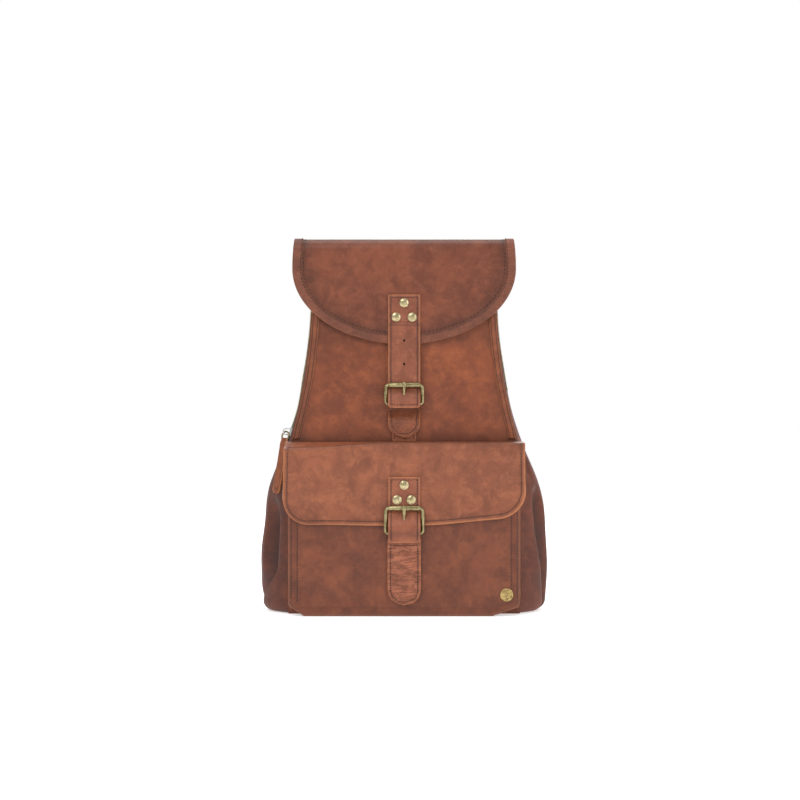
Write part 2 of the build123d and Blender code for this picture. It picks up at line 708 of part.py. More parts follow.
flap_drop = strap_end(2 * POCKET_FLAP_HALF, POCKET_FLAP_LOW, POCKET_FLAP_CORNER, CREASE_Z)
pocket_flap = plate(
    flap_drop,
    Y_POCKET_FLAP - POCKET_FLAP_LEATHER / 2,
    Y_POCKET_FLAP + POCKET_FLAP_LEATHER / 2,
)
pocket_flap += across(Pos(*crease_axis) * Circle(bead), POCKET_FLAP_HALF)
save("pocket_flap", pocket_flap)

# ---- the pocket's strap and buckle, with a leather tongue that hides a popper
pocket_heel = (Y_POCKET_BAR, POCKET_HEEL_Z)
pocket_rest = prong_rest(Y_POCKET_BAR, POCKET_ROLLER_Z, POCKET_PITCH)
pocket_route = [
    (Y_POCKET_STRAP, POCKET_PATCH_TOP),
    (Y_POCKET_STRAP, POCKET_ROLLER_Z - 2),
    (Y_POCKET_BAR - strap_lift, POCKET_HEEL_Z + 8),
    (Y_POCKET_BAR - strap_lift, POCKET_STRAP_END),
]
pocket_strap = ribbon(pocket_route, STRAP_BEND, STRAP_WIDTH, STRAP_THICK)
pocket_strap &= through(strap_end(STRAP_WIDTH, POCKET_STRAP_END, STRAP_CORNER, POCKET_PATCH_TOP))
pocket_strap -= prong(pocket_heel, pocket_rest, grow=SOFT_GAP)
save("pocket_strap", pocket_strap)
pocket_rivets = Part() + [
    on_front(x, Y_POCKET_STRAP - STRAP_THICK / 2, z, rivet(*RIVET)) for x, z in POCKET_RIVETS
]
save("pocket_rivets", pocket_rivets)
save("pocket_buckle_frame", buckle_frame(Y_POCKET_BAR, POCKET_HEEL_Z, POCKET_ROLLER_Z))
save("pocket_prong", prong(pocket_heel, pocket_rest))
save("pocket_roller", roller(Y_POCKET_BAR, POCKET_ROLLER_Z))

tongue_stand = 3.2
y_tongue = Y_POCKET - tongue_stand
pocket_tongue = heel_loop(
    Y_POCKET_BAR, POCKET_HEEL_Z, y_tongue, STRAP_THICK, TONGUE_LOW, STRAP_WIDTH
)
tongue_face = strap_end(TONGUE_WIDTH, TONGUE_LOW, TAB_CORNER, POCKET_HEEL_Z + 9)
pocket_tongue &= through(tongue_face)
save("pocket_tongue", pocket_tongue)

stud = Cylinder(POPPER_RADIUS, 0.5, align=STANDING)
stud += Cylinder(2.4, 1.7, align=STANDING)
save("popper_stud", on_front(0, Y_POCKET, POPPER_Z, stud))
socket_gap, socket_thick = 0.9, 1.2
socket = Pos(0, 0, socket_gap) * Cylinder(POPPER_RADIUS, socket_thick, align=STANDING)
socket -= Cylinder(3.4, 3 * socket_thick)
save("popper_socket", on_front(0, Y_POCKET, POPPER_Z, socket))

# ---- the back: yoke, its rivets, and the grab handle on two brackets
yoke_thick = LEATHER
yoke_low_width, yoke_high_width, yoke_height = YOKE
yoke_high = YOKE_LOW + yoke_height
yoke_face = lie(
    [
        (-yoke_low_width / 2, YOKE_LOW),
        (yoke_low_width / 2, YOKE_LOW),
        (yoke_high_width / 2, yoke_high),
        (-yoke_high_width / 2, yoke_high),
    ],
    YOKE_CORNER,
)
Y_YOKE = Y_BACK + yoke_thick
save("strap_yoke", plate(yoke_face, Y_BACK, Y_YOKE))
rivet_row = (HANDLE_HALF - 14, 12)
yoke_rivets = Part() + [
    on_back(side * x, Y_YOKE, YOKE_LOW + 7, rivet(*YOKE_RIVET)) for side in (-1, 1) for x in rivet_row
]
save("yoke_rivets", yoke_rivets)

Y_HANDLE = Y_YOKE + HANDLE_RADIUS + 1.3
handle_low = HANDLE_Z - HANDLE_DROP
handle_path = FilletPolyline(
    (-HANDLE_HALF, Y_HANDLE, HANDLE_Z),
    (-HANDLE_HALF + HANDLE_TAPER, Y_HANDLE, handle_low),
    (HANDLE_HALF - HANDLE_TAPER, Y_HANDLE, handle_low),
    (HANDLE_HALF, Y_HANDLE, HANDLE_Z),
    radius=HANDLE_BEND,
)
handle_start = Plane(origin=handle_path @ 0, z_dir=handle_path % 0)
grab_handle = sweep(handle_start * Circle(HANDLE_RADIUS), handle_path)
eye_radius, eye_length = HANDLE_EYE
ear_thick, ear_height = BRACKET_EAR
brackets = Part()
for side in (-1, 1):
    x = side * HANDLE_HALF
    eye = Pos(x, Y_HANDLE, HANDLE_Z) * Rot(0, 90, 0)
    grab_handle += eye * Cylinder(eye_radius, eye_length)
    grab_handle -= eye * Cylinder(PIN_RADIUS + RUN_GAP, 2 * eye_length)
    brackets += eye * Cylinder(PIN_RADIUS, 2 * BRACKET_REACH + ear_thick)
    for ear in (-1, 1):
        ear_x = x + ear * BRACKET_REACH
        brackets += box_between(
            (ear_x - ear_thick / 2, Y_YOKE, HANDLE_Z - ear_height / 2),
            (ear_x + ear_thick / 2, Y_HANDLE + ear_height / 2, HANDLE_Z + ear_height / 2),
        )
save("grab_handle", grab_handle)
save("handle_brackets", brackets)

# ---- the shoulder straps: pad and adjuster, then the sliding lower strap and its ring
reach = hypot(STRAP_FOOT[0] - PAD_TOP[0], PAD_TOP[1] - STRAP_FOOT[1])
y_under = Y_YOKE + SOFT_GAP
y_lower = y_under + 2 * RING_WIRE + 0.4 + LOWER_THICK / 2
y_end_bar = y_lower + LOWER_THICK / 2 + 0.4 + RING_WIRE
y_pad = y_end_bar - RING_WIRE
y_pad_out = Y_BACK + back_stack
adjuster_at = PAD_LENGTH + ADJUSTER_GAP
end_bar_at = adjuster_at - ADJUSTER_PITCH / 2
lower_start = PAD_LENGTH - FREE_END
ring_drop = RING[1]
chape_thick = 3.6
root_radius, root_length = ROOT_ROLL
loop_wall_lower = 1.9
lower_end = reach - ring_drop


def wire_ring(plane, length, height, wire, corner):
    path = plane * RectangleRounded(length, height, corner).wire()
    start = Plane(origin=path @ 0, z_dir=path % 0)
    return sweep(start * Circle(wire), path)


for name, side in (("left", -1), ("right", 1)):
    foot = Vector(side * STRAP_FOOT[0], 0, STRAP_FOOT[1])
    head = Vector(side * PAD_TOP[0], 0, PAD_TOP[1])
    down = (foot - head).normalized()
    lane = Plane(origin=head, x_dir=down, z_dir=(0, 1, 0))

    pad_face = Pos(PAD_LENGTH / 2 + PAD_START, 0) * Rectangle(PAD_LENGTH - 2 * PAD_START, PAD_WIDTH)
    pad_face = fillet(pad_face.vertices(), PAD_CORNER)
    pad = Plane(origin=head + Vector(0, y_pad, 0), x_dir=down, z_dir=(0, 1, 0)) * extrude(
        pad_face, y_pad_out - y_pad
    )
    root_axis_y = y_under + root_radius + PART_GAP
    root_roll = Pos(head.X, root_axis_y, head.Z) * Rot(0, 90, 0)
    root_roll *= Cylinder(root_radius, root_length)
    neck = Plane(origin=head + Vector(0, y_pad, 0), x_dir=down, z_dir=(0, 1, 0)) * box_between(
        (-1, -15, 0), (12, 15, 2.6)
    )
    end_bar = lane * Pos(end_bar_at, 0, y_end_bar) * Rot(90, 0, 0)
    chape = lane * box_between(
        (PAD_LENGTH - 2 * PAD_START, -LOWER_WIDTH / 2, y_pad),
        (end_bar_at, LOWER_WIDTH / 2, y_pad + chape_thick),
    )
    chape += end_bar * Cylinder(RING_WIRE + HINGE_GAP + 1.2, LOWER_WIDTH)
    chape &= lane * box_between((0, -FAR, y_pad - 0.05), (FAR, FAR, FAR))
    pad = pad + root_roll + neck + chape
    pad -= end_bar * Cylinder(RING_WIRE + 0.1, FAR)
    save(f"shoulder_pad_{name}", pad)

    ends = wire_ring(
        lane * Pos(adjuster_at, 0, y_end_bar), ADJUSTER_PITCH, LOWER_WIDTH + 6, RING_WIRE, 3
    )
    half = LOWER_WIDTH / 2 + 3
    bridge = lane * Pos(adjuster_at, 0, y_under + RING_WIRE) * Rot(90, 0, 0)
    bridge = bridge * Cylinder(RING_WIRE, 2 * half)
    for s in (-1, 1):
        bridge += lane * box_between(
            (adjuster_at - RING_WIRE, s * half - RING_WIRE, y_under + RING_WIRE),
            (adjuster_at + RING_WIRE, s * half + RING_WIRE, y_end_bar),
        )
    save(f"shoulder_adjuster_{name}", ends + bridge)

    strip = lane * box_between(
        (lower_start, -LOWER_WIDTH / 2, y_lower - LOWER_THICK / 2),
        (lower_end - 2, LOWER_WIDTH / 2, y_lower + LOWER_THICK / 2),
    )
    eye = lane * Pos(lower_end, 0, y_lower) * Rot(90, 0, 0)
    strip += eye * Cylinder(RING_WIRE + loop_wall_lower, LOWER_WIDTH)
    strip -= eye * Cylinder(RING_WIRE + RUN_GAP, LOWER_WIDTH + 2)
    save(f"lower_strap_{name}", strip)

    ring = wire_ring(
        lane * Pos(lower_end + ring_drop / 2, 0, y_lower), ring_drop, RING[0], RING_WIRE, 2
    )
    save(f"ring_{name}", ring)

tab_above, tab_below = 12.0, 34.0
tab_high_half, tab_low_half = 13.0, 21.0
tabs = Part()
for side in (-1, 1):
    foot = Vector(side * STRAP_FOOT[0], 0, STRAP_FOOT[1])
    head = Vector(side * PAD_TOP[0], 0, PAD_TOP[1])
    lane = Plane(origin=head, x_dir=(foot - head).normalized(), z_dir=(0, 1, 0))
    tab_right = [(reach + tab_below, tab_low_half), (reach - tab_above, tab_high_half)]
    tab_left = [(at, -half) for at, half in reversed(tab_right)]
    tab_face = lie(tab_left + tab_right, STRAP_CORNER)
    tab = lane * Pos(0, 0, Y_BACK) * extrude(tab_face, LEATHER)
    tabs += tab & plate(back_outline(2), Y_BACK - 1, Y_BACK + 10)
save("lower_tabs", tabs)

# ---- the zipped pocket on the inside of the back
inner_width = 160.0
inner_height = 120.0
inner_low = 205.0
inner_deep = 7.0
inner_slot = 6.0
inner_far = lining_far - CLOTH - PART_GAP
inner_near = inner_far - inner_deep
inner_high = inner_low + inner_height
slot_z = inner_high - 16
slot_half = inner_width / 2 - 14
inner_half = inner_width / 2
inner_pocket = box_between(
    (-inner_half, inner_near, inner_low), (inner_half, inner_far, inner_high)
)
inner_pocket -= box_between(
    (-inner_half + CLOTH, inner_near + CLOTH, inner_low + CLOTH),
    (inner_half - CLOTH, inner_far - CLOTH, inner_high - CLOTH),
)
inner_pocket -= box_between(
    (-slot_half, inner_near - 1, slot_z - inner_slot / 2),
    (slot_half, inner_near + 2 * CLOTH, slot_z + inner_slot / 2),
)
save("inner_pocket", inner_pocket)
tape_wide, tape_thick, end_half = 6.0, 1.2, 2.0
inner_zip = Part()
for s in (-1, 1):
    middle = slot_z + s * (inner_slot + tape_wide) / 2
    inner_zip += box_between(
        (-slot_half, inner_near - tape_thick, middle - tape_wide / 2),
        (slot_half, inner_near, middle + tape_wide / 2),
    )
for s in (-1, 1):
    inner_zip += box_between(
        (s * slot_half - end_half, inner_near - tape_thick, slot_z - tape_wide),
        (s * slot_half + end_half, inner_near, slot_z + tape_wide),
    )
save("inner_zip", inner_zip)
inner_lid = Pos(-slot_half + 7.5, inner_near - 2.4, slot_z) * Box(9.0, 1.6, 10.0)
inner_pull = Pos(-slot_half + 7.5, inner_near - 3.9, slot_z - 11.5) * Box(5.0, 1.4, 29.0)
inner_slider = inner_lid + inner_pull
save("inner_slider", inner_slider)
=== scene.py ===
import json
from math import atan2, cos, exp, hypot, pi, radians, sin, sqrt

import bpy
from mathutils import Matrix, Vector, noise


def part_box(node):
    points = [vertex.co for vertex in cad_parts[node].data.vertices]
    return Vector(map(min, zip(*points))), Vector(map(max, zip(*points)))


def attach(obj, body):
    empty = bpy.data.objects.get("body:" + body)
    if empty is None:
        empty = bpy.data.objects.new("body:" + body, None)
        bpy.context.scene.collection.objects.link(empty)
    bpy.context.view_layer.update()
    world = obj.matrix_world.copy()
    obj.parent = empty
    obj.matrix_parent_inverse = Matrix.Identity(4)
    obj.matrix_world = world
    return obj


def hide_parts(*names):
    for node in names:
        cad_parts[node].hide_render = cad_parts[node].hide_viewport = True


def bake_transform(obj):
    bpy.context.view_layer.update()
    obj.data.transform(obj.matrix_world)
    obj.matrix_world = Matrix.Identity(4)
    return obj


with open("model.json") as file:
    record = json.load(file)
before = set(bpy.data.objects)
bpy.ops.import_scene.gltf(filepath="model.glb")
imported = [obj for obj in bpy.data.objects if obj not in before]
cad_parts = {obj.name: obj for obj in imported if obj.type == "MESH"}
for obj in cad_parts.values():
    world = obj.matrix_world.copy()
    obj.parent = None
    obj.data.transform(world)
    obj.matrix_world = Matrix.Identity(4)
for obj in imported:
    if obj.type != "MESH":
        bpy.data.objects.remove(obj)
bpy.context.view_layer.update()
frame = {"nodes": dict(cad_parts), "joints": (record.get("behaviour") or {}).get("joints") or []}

# ---- the studio: a white floor under an even white sky, a camera about level with the middle
# of the bag, and soft lights from above, both sides and behind
MM = 0.001
camera_data = bpy.data.cameras.new("camera")
camera_data.lens_unit = "FOV"
camera_data.angle = radians(22.85)
camera = bpy.data.objects.new("camera", camera_data)
camera.location = (-0.0045, -2.194, 0.2325)
camera.rotation_euler = (radians(90), 0, 0)
bpy.context.scene.collection.objects.link(camera)
bpy.context.scene.camera = camera
bpy.context.scene.view_settings.view_transform = "Standard"


def socket(node, name):
    return next(s for s in node.inputs if s.name == name)


def plain_shader(material, colour, roughness):
    material.use_nodes = True
    shader = material.node_tree.nodes["Principled BSDF"]
    shader.inputs["Base Color"].default_value = (*colour, 1)
    shader.inputs["Roughness"].default_value = roughness
    return shader


bpy.ops.object.select_all(action="DESELECT")
bpy.ops.mesh.primitive_plane_add(size=40, location=(0, 0, -0.0005))
floor = bpy.context.object
floor.name = "floor"
floor_white = bpy.data.materials.new("floor_white")
floor_shader = plain_shader(floor_white, (0.9, 0.9, 0.9), 0.9)
floor_shader.inputs["Emission Color"].default_value = (1, 1, 1, 1)
floor_shader.inputs["Emission Strength"].default_value = 0.5
floor.data.materials.append(floor_white)

world = bpy.data.worlds.new("studio")
bpy.context.scene.world = world
world.use_nodes = True
sky = world.node_tree.nodes["Background"]
sky.inputs["Color"].default_value = (1, 1, 1, 1)
rays = world.node_tree.nodes.new("ShaderNodeLightPath")
sky_power = world.node_tree.nodes.new("ShaderNodeMapRange")
sky_power.inputs["To Min"].default_value = 0.55
sky_power.inputs["To Max"].default_value = 1.0
world.node_tree.links.new(rays.outputs["Is Camera Ray"], sky_power.inputs["Value"])
world.node_tree.links.new(sky_power.outputs["Result"], sky.inputs["Strength"])


def soft_light(name, place, aim, size, power):
    data = bpy.data.lights.new(name, "AREA")
    data.shape = "RECTANGLE"
    data.size, data.size_y = size
    data.energy = power
    light = bpy.data.objects.new(name, data)
    light.location = place
    light.rotation_euler = (Vector(aim) - Vector(place)).to_track_quat("-Z", "Y").to_euler()
    bpy.context.scene.collection.objects.link(light)


bag_middle = (0, 0, 0.21)
soft_light("key_light", (-0.75, -1.35, 1.45), bag_middle, (0.9, 0.7), 15)
soft_light("fill_light", (1.3, -1.3, 0.75), bag_middle, (0.9, 1.1), 10)
soft_light("top_light", (0, 0.1, 1.7), bag_middle, (1.4, 1.0), 11)
soft_light("back_light", (0.3, 1.7, 1.0), bag_middle, (1.6, 1.2), 16)

# ---- leather: waxed full grain hide. Its finish is mottled where the wax has been pulled
# apart, its grain is fine and pebbled, and its cut edges and rubbed places go tan


class Nodes:
    """Adds nodes to one material and joins them up."""

    def __init__(self, name):
        self.material = bpy.data.materials.new(name)
        self.material.use_nodes = True
        self.tree = self.material.node_tree
        self.shader = self.tree.nodes["Principled BSDF"]
        self.place = self.add("ShaderNodeTexCoord").outputs["Object"]

    def add(self, kind, **settings):
        node = self.tree.nodes.new(kind)
        for key, value in settings.items():
            setattr(node, key, value)
        return node

    def feed(self, node, **values):
        for key, value in values.items():
            target = socket(node, key.replace("_", " "))
            if hasattr(value, "links"):
                self.tree.links.new(value, target)
            else:
                target.default_value = value
        return node

    def stretched(self, scale):
        node = self.add("ShaderNodeMapping")
        self.feed(node, Vector=self.place, Scale=scale)
        return node.outputs[0]

    def noise(self, scale, detail=4.0, rough=0.55, place=None, twist=0.0):
        node = self.add("ShaderNodeTexNoise")
        self.feed(node, Vector=place or self.place, Scale=scale, Detail=detail, Roughness=rough)
        self.feed(node, Distortion=twist)
        return node.outputs[0]

    def cells(self, scale, feature="F1", place=None):
        node = self.add("ShaderNodeTexVoronoi", feature=feature)
        self.feed(node, Vector=place or self.place, Scale=scale)
        return node.outputs["Distance"]

    def ramp(self, value, low, high):
        """0 where value is under low, 1 where it is over high, smooth between."""
        node = self.add("ShaderNodeMapRange", interpolation_type="SMOOTHSTEP")
        self.feed(node, Value=value, From_Min=low, From_Max=high)
        return node.outputs[0]

    def scaled(self, value, low, high):
        node = self.add("ShaderNodeMapRange")
        self.feed(node, Value=value, To_Min=low, To_Max=high)
        return node.outputs[0]

    def sums(self, operation, first, second):
        node = self.add("ShaderNodeMath", operation=operation)
        for target, value in zip(node.inputs, (first, second)):
            if hasattr(value, "links"):
                self.tree.links.new(value, target)
            else:
                target.default_value = value
        return node.outputs[0]

    def blend(self, share, first, second, how="MIX"):
        node = self.add("ShaderNodeMix", data_type="RGBA", blend_type=how)
        for index, value in ((0, share), (6, first), (7, second)):
            if hasattr(value, "links"):
                self.tree.links.new(value, node.inputs[index])
            elif index:
                node.inputs[index].default_value = (*value, 1)
            else:
                node.inputs[index].default_value = value
        return node.outputs[2]

    def attribute(self, name):
        return self.add("ShaderNodeAttribute", attribute_name=name).outputs["Fac"]

    def bump(self, height, depth, strength=1.0, under=None):
        node = self.add("ShaderNodeBump")
        self.feed(node, Height=height, Distance=depth, Strength=strength)
        if under is not None:
            self.tree.links.new(under, node.inputs["Normal"])
        return node.outputs[0]


def leather(name, deep, middle, light, gloss=0.46, shift=0.0, wrinkle=0.0):
    """Three tones of one hide. shift moves its mottling, wrinkle adds fine cross creases with painted shade
    in them.
    """
    n = Nodes(name)
    move = n.add("ShaderNodeMapping")
    n.feed(move, Vector=n.place, Location=(shift, shift * 0.7, shift * 1.3))
    n.place = move.outputs[0]
    cloudy = n.noise(12, 5, 0.6, twist=0.3)
    blotchy = n.noise(75, 8, 0.7, twist=0.4)
    pulled = n.noise(160, 6, 0.66, place=n.stretched((0.7, 1, 0.6)), twist=1.2)
    fine = n.noise(620, 5, 0.75)
    tone = n.blend(n.ramp(cloudy, 0.28, 0.74), deep, middle)
    tone = n.blend(n.sums("MULTIPLY", n.ramp(blotchy, 0.4, 0.72), 0.5), tone, light)
    tone = n.blend(n.sums("MULTIPLY", n.ramp(pulled, 0.54, 0.7), 0.2), tone, light)
    stains = n.sums("MULTIPLY", n.ramp(n.noise(48, 8, 0.72, twist=0.6), 0.54, 0.4), 0.4)
    tone = n.blend(stains, tone, [c * 0.6 for c in deep])
    tone = n.blend(n.scaled(fine, 0.0, 0.4), tone, [c * 0.66 for c in deep])
    worn = n.sums("MULTIPLY", n.attribute("worn"), n.scaled(n.noise(200, 4), 0.45, 1.4))
    tone = n.blend(worn, tone, (0.4, 0.145, 0.055))
    # painted shade: the shade attribute darkens the hide towards a deep brown in seams, creases and under
    # overhangs
    dark = n.sums("MULTIPLY", n.attribute("shade"), 0.85)
    tone = n.blend(dark, tone, [c * 0.22 for c in deep])
    pebbles = n.cells(760, "SMOOTH_F1")
    pores = n.ramp(n.cells(330), 0.16, 0.02)
    grain = n.sums("ADD", n.sums("MULTIPLY", pebbles, 0.55), n.sums("MULTIPLY", fine, 0.8))
    grain = n.sums("SUBTRACT", grain, n.sums("MULTIPLY", pores, 0.35))
    normal = n.bump(grain, 0.00026, 0.6)
    normal = n.bump(n.noise(60, 5, 0.55), 0.0014, 0.5, normal)
    if wrinkle:
        creases = n.noise(150, 5, 0.55, place=n.stretched((0.35, 1, 1.5)), twist=0.9)
        ridge = n.ramp(n.sums("ABSOLUTE", n.sums("SUBTRACT", creases, 0.5), 0), 0.0, 0.06)
        normal = n.bump(ridge, 0.0004, wrinkle, normal)
        # painted shade: the crease lines are darkened
        tone = n.blend(n.sums("MULTIPLY", n.sums("SUBTRACT", 1.0, ridge), wrinkle * 0.55), tone,
                       [c * 0.4 for c in deep])
    n.feed(n.shader, Base_Color=tone, Normal=normal)
    n.feed(n.shader, Roughness=n.scaled(blotchy, gloss - 0.1, gloss + 0.14))
    n.shader.inputs["Specular IOR Level"].default_value = 0.36
    n.shader.inputs["Coat Weight"].default_value = 0.08
    n.shader.inputs["Coat Roughness"].default_value = 0.3
    return n.material


def carry_out(piece, modifier):
    """Makes a modifier's result the piece's own mesh."""
    bpy.context.view_layer.objects.active = piece
    bpy.ops.object.modifier_apply(modifier=modifier.name)


def sheet(name, columns, rows, place, thick=0.0, material=None, worn=None, shade=None, cut=None):
    """A grid turned into a sheet of hide. place(u, v) gives each point, with u and v from 0
    to 1. The hide's thickness goes behind the face, and it is cut away where cut(u, v) says.
    worn(u, v) says how rubbed each spot is, and shade(u, v) how much painted shade darkens it."""
    bpy.ops.object.select_all(action="DESELECT")
    bpy.ops.mesh.primitive_grid_add(x_subdivisions=columns, y_subdivisions=rows, size=1)
    piece = bpy.context.object
    piece.name = name
    mesh = piece.data
    spots = [(v.co.x + 0.5, v.co.y + 0.5) for v in mesh.vertices]
    for vertex, (u, v) in zip(mesh.vertices, spots):
        vertex.co = place(u, v)
    for layer, rule in (("worn", worn), ("shade", shade)):
        values = mesh.attributes.new(layer, "FLOAT", "POINT")
        if rule is not None:
            values.data.foreach_set("value", [rule(u, v) for u, v in spots])
    if cut is not None:
        bpy.ops.object.mode_set(mode="EDIT")
        bpy.ops.mesh.select_all(action="DESELECT")
        bpy.ops.object.mode_set(mode="OBJECT")
        for face in mesh.polygons:
            corners = [spots[i] for i in face.vertices]
            u, v = (sum(c[k] for c in corners) / len(corners) for k in (0, 1))
            face.select = cut(u, v)
        bpy.ops.object.mode_set(mode="EDIT")
        bpy.ops.mesh.select_mode(type="FACE")
        bpy.ops.mesh.delete(type="FACE")
        bpy.ops.object.mode_set(mode="OBJECT")
    if thick:
        wall = piece.modifiers.new("thickness", "SOLIDIFY")
        wall.thickness = thick
        wall.offset = -1
        wall.use_even_offset = True
        carry_out(piece, wall)
    bpy.ops.object.shade_smooth()
    if material is not None:
        mesh.materials.append(material)
    return piece


def weld(piece, gap=0.00002):
    """Closes a sheet whose edges meet, and points its faces outwards."""
    bpy.context.view_layer.objects.active = piece
    bpy.ops.object.mode_set(mode="EDIT")
    bpy.ops.mesh.select_all(action="SELECT")
    bpy.ops.mesh.remove_doubles(threshold=gap)
    bpy.ops.mesh.normals_make_consistent(inside=False)
    bpy.ops.object.mode_set(mode="OBJECT")
    return piece


def finish(piece, body, slot, *nodes):
    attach(piece, body)
    if nodes:
        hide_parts(*nodes)
    return piece


def near(distance, reach):
    return exp(-((distance / reach) ** 2))


def ease(value, low, high):
    """0 below low, 1 above high, smooth between."""
    t = min(max((value - low) / (high - low), 0.0), 1.0)
    return t * t * (3 - 2 * t)


def uneven(x, y, z, size):
    """A soft random rise and fall, size millimetres across, from -1 to 1."""
    return noise.noise(Vector((x, y, z)) / size)


def along(stops, at):
    """A smooth curve through stops of (place, value), read at one place."""
    if at <= stops[0][0]:
        return stops[0][1]
    if at >= stops[-1][0]:
        return stops[-1][1]
    i = max(k for k, stop in enumerate(stops[:-1]) if stop[0] <= at)
    (a, p), (b, q) = stops[i], stops[i + 1]
    before, after = stops[max(i - 1, 0)], stops[min(i + 2, len(stops) - 1)]
    run = b - a
    t = (at - a) / run
    leave = run * (q - before[1]) / (b - before[0])
    arrive = run * (after[1] - p) / (after[0] - a)
    return (
        (2 * t**3 - 3 * t**2 + 1) * p + (t**3 - 2 * t**2 + t) * leave
        + (3 * t**2 - 2 * t**3) * q + (t**3 - t**2) * arrive
    )


def between(stops, share):
    """The point at a share, from 0 to 1, of the way along stops joined by straight lines."""
    at = share * (len(stops) - 1)
    i = min(int(at), len(stops) - 2)
    return [a + (b - a) * (at - i) for a, b in zip(stops[i], stops[i + 1])]


def corner_cut(left, radius, least=0.0):
    """How much a rounded corner takes off a half width, left millimetres from the end."""
    if left >= radius:
        return 0.0
    return radius - sqrt(max(radius**2 - (radius - left) ** 2, least))


def middle_of(node):
    """The centre of a node's box, in millimetres."""
    return [(low + high) / 2 / MM for low, high in zip(*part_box(node))]


# ---- thread: waxed dark brown cotton. One stitch is a short plump bead, and a seam is
# a row of them laid along a line on the face of a hide
thread = bpy.data.materials.new("waxed_thread")
plain_shader(thread, (0.022, 0.008, 0.005), 0.7)
STITCH = (2.45, 0.9, 0.62)
STITCH_PITCH = 3.3
SPACING_STEPS = 24
bpy.ops.object.select_all(action="DESELECT")
bpy.ops.mesh.primitive_uv_sphere_add(segments=6, ring_count=5, radius=0.5)
stitch_model = bpy.context.object
stitch_spots = [Vector((v.co.z * STITCH[0], v.co.x * STITCH[1], v.co.y * STITCH[2]))
                for v in stitch_model.data.vertices]
stitch_faces = [tuple(f.vertices) for f in stitch_model.data.polygons]
bpy.data.objects.remove(stitch_model)


def outward(place, u, v):
    """The direction that a face looks in at one spot."""
    step = 0.002
    across = place(u + step, v) - place(u - step, v)
    up = place(u, v + step) - place(u, v - step)
    return across.cross(up).normalized()


def copies(name, model_spots, model_faces, frames, material):
    """One mesh made of a small model repeated at each frame of (spot, along, out)."""
    spots, faces = [], []
    for spot, ahead, out in frames:
        side = out.cross(ahead)
        start = len(spots)
        for p in model_spots:
            spots.append(spot + (ahead * p.x + side * p.y + out * p.z) * MM)
        faces += [tuple(i + start for i in face) for face in model_faces]
    mesh = bpy.data.meshes.new(name)
    mesh.from_pydata(spots, [], faces)
    mesh.materials.append(material)
    piece = bpy.data.objects.new(name, mesh)
    bpy.context.scene.collection.objects.link(piece)
    bpy.ops.object.select_all(action="DESELECT")
    piece.select_set(True)
    bpy.context.view_layer.objects.active = piece
    bpy.ops.object.shade_smooth()
    return piece


def spaced(place, line, pitch):
    """Frames at one pitch along a line of (u, v) on a face."""
    fine = []
    for (u0, v0), (u1, v1) in zip(line, line[1:]):
        for k in range(SPACING_STEPS):
            t = k / SPACING_STEPS
            fine.append((u0 + (u1 - u0) * t, v0 + (v1 - v0) * t))
    fine.append(line[-1])
    spots = [place(*uv) for uv in fine]
    frames = []
    due = pitch * MM / 2
    gone = 0.0
    for a, b, uv in zip(spots, spots[1:], fine):
        length = (b - a).length
        while length > 1e-9 and gone + length >= due:
            spot = a.lerp(b, (due - gone) / length)
            out = outward(place, *uv)
            ahead = (b - a).normalized()
            out = (out - ahead * out.dot(ahead)).normalized()
            frames.append((spot, ahead, out))
            due += pitch * MM
        gone += length
    return frames


def line_up(u, start=0.0, run=1.0, count=40):
    """A line of (u, v) up a face, and line_across one across it, from start over a run."""
    return [(u, start + run * k / count) for k in range(count + 1)]


def line_across(v, start=0.0, run=1.0, count=40):
    return [(start + run * k / count, v) for k in range(count + 1)]


def seam(name, body, place, lines, lift=0.12, pitch=STITCH_PITCH):
    """Rows of stitches along lines of (u, v) on a face, lifted off it by lift millimetres."""
    frames = []
    for line in lines:
        frames += spaced(place, line, pitch)
    frames = [(spot + out * lift * MM, ahead, out) for spot, ahead, out in frames]
    piece = copies(name, stitch_spots, stitch_faces, frames, thread)
    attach(piece, body)
    return piece


# ---- the bag's form: a narrow crown that widens to a broad base. Its front and back are
# flat panels, and its sides swell between them
FRONT_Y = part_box("front_panel")[0].y / MM
BACK_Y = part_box("back_panel")[1].y / MM
POCKET_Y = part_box("pocket_front")[0].y / MM
DEPTH = BACK_Y - FRONT_Y
SIDES = (("left", -1), ("right", 1))
HIDE = 2.2
FRONT_TOP, BACK_TOP = 398, 400
ZIP_Y = FRONT_Y + 14
SWELL = 0.45
FRONT_HALF = ((0, 126), (135, 124.8), (186, 123), (224, 114.5), (257, 108), (293, 103.4),
              (322, 101.2), (398, 98))
SIDE_HALF = ((0, 157), (46, 159.5), (82, 157.5), (135, 151), (186, 131.5), (224, 118.8),
             (257, 112.3), (283, 107.5), (322, 103), (402, 100))
BACK_HALF = ((0, 141), (82, 139.5), (135, 136), (186, 124.5), (224, 115.5), (257, 109.5),
             (322, 102), (400, 100))
CROWN = ((0, FRONT_TOP), (SWELL, 402), (1, BACK_TOP))
CROWN_RADIUS = 34
FOOT_RADIUS = 12


def half_width(share, z):
    front, side, back = (along(stops, z) for stops in (FRONT_HALF, SIDE_HALF, BACK_HALF))
    if share < SWELL:
        return front + (side - front) * sin(pi / 2 * max(share, 0) / SWELL) ** 0.85
    return back + (side - back) * cos(pi / 2 * (min(share, 1) - SWELL) / (1 - SWELL))


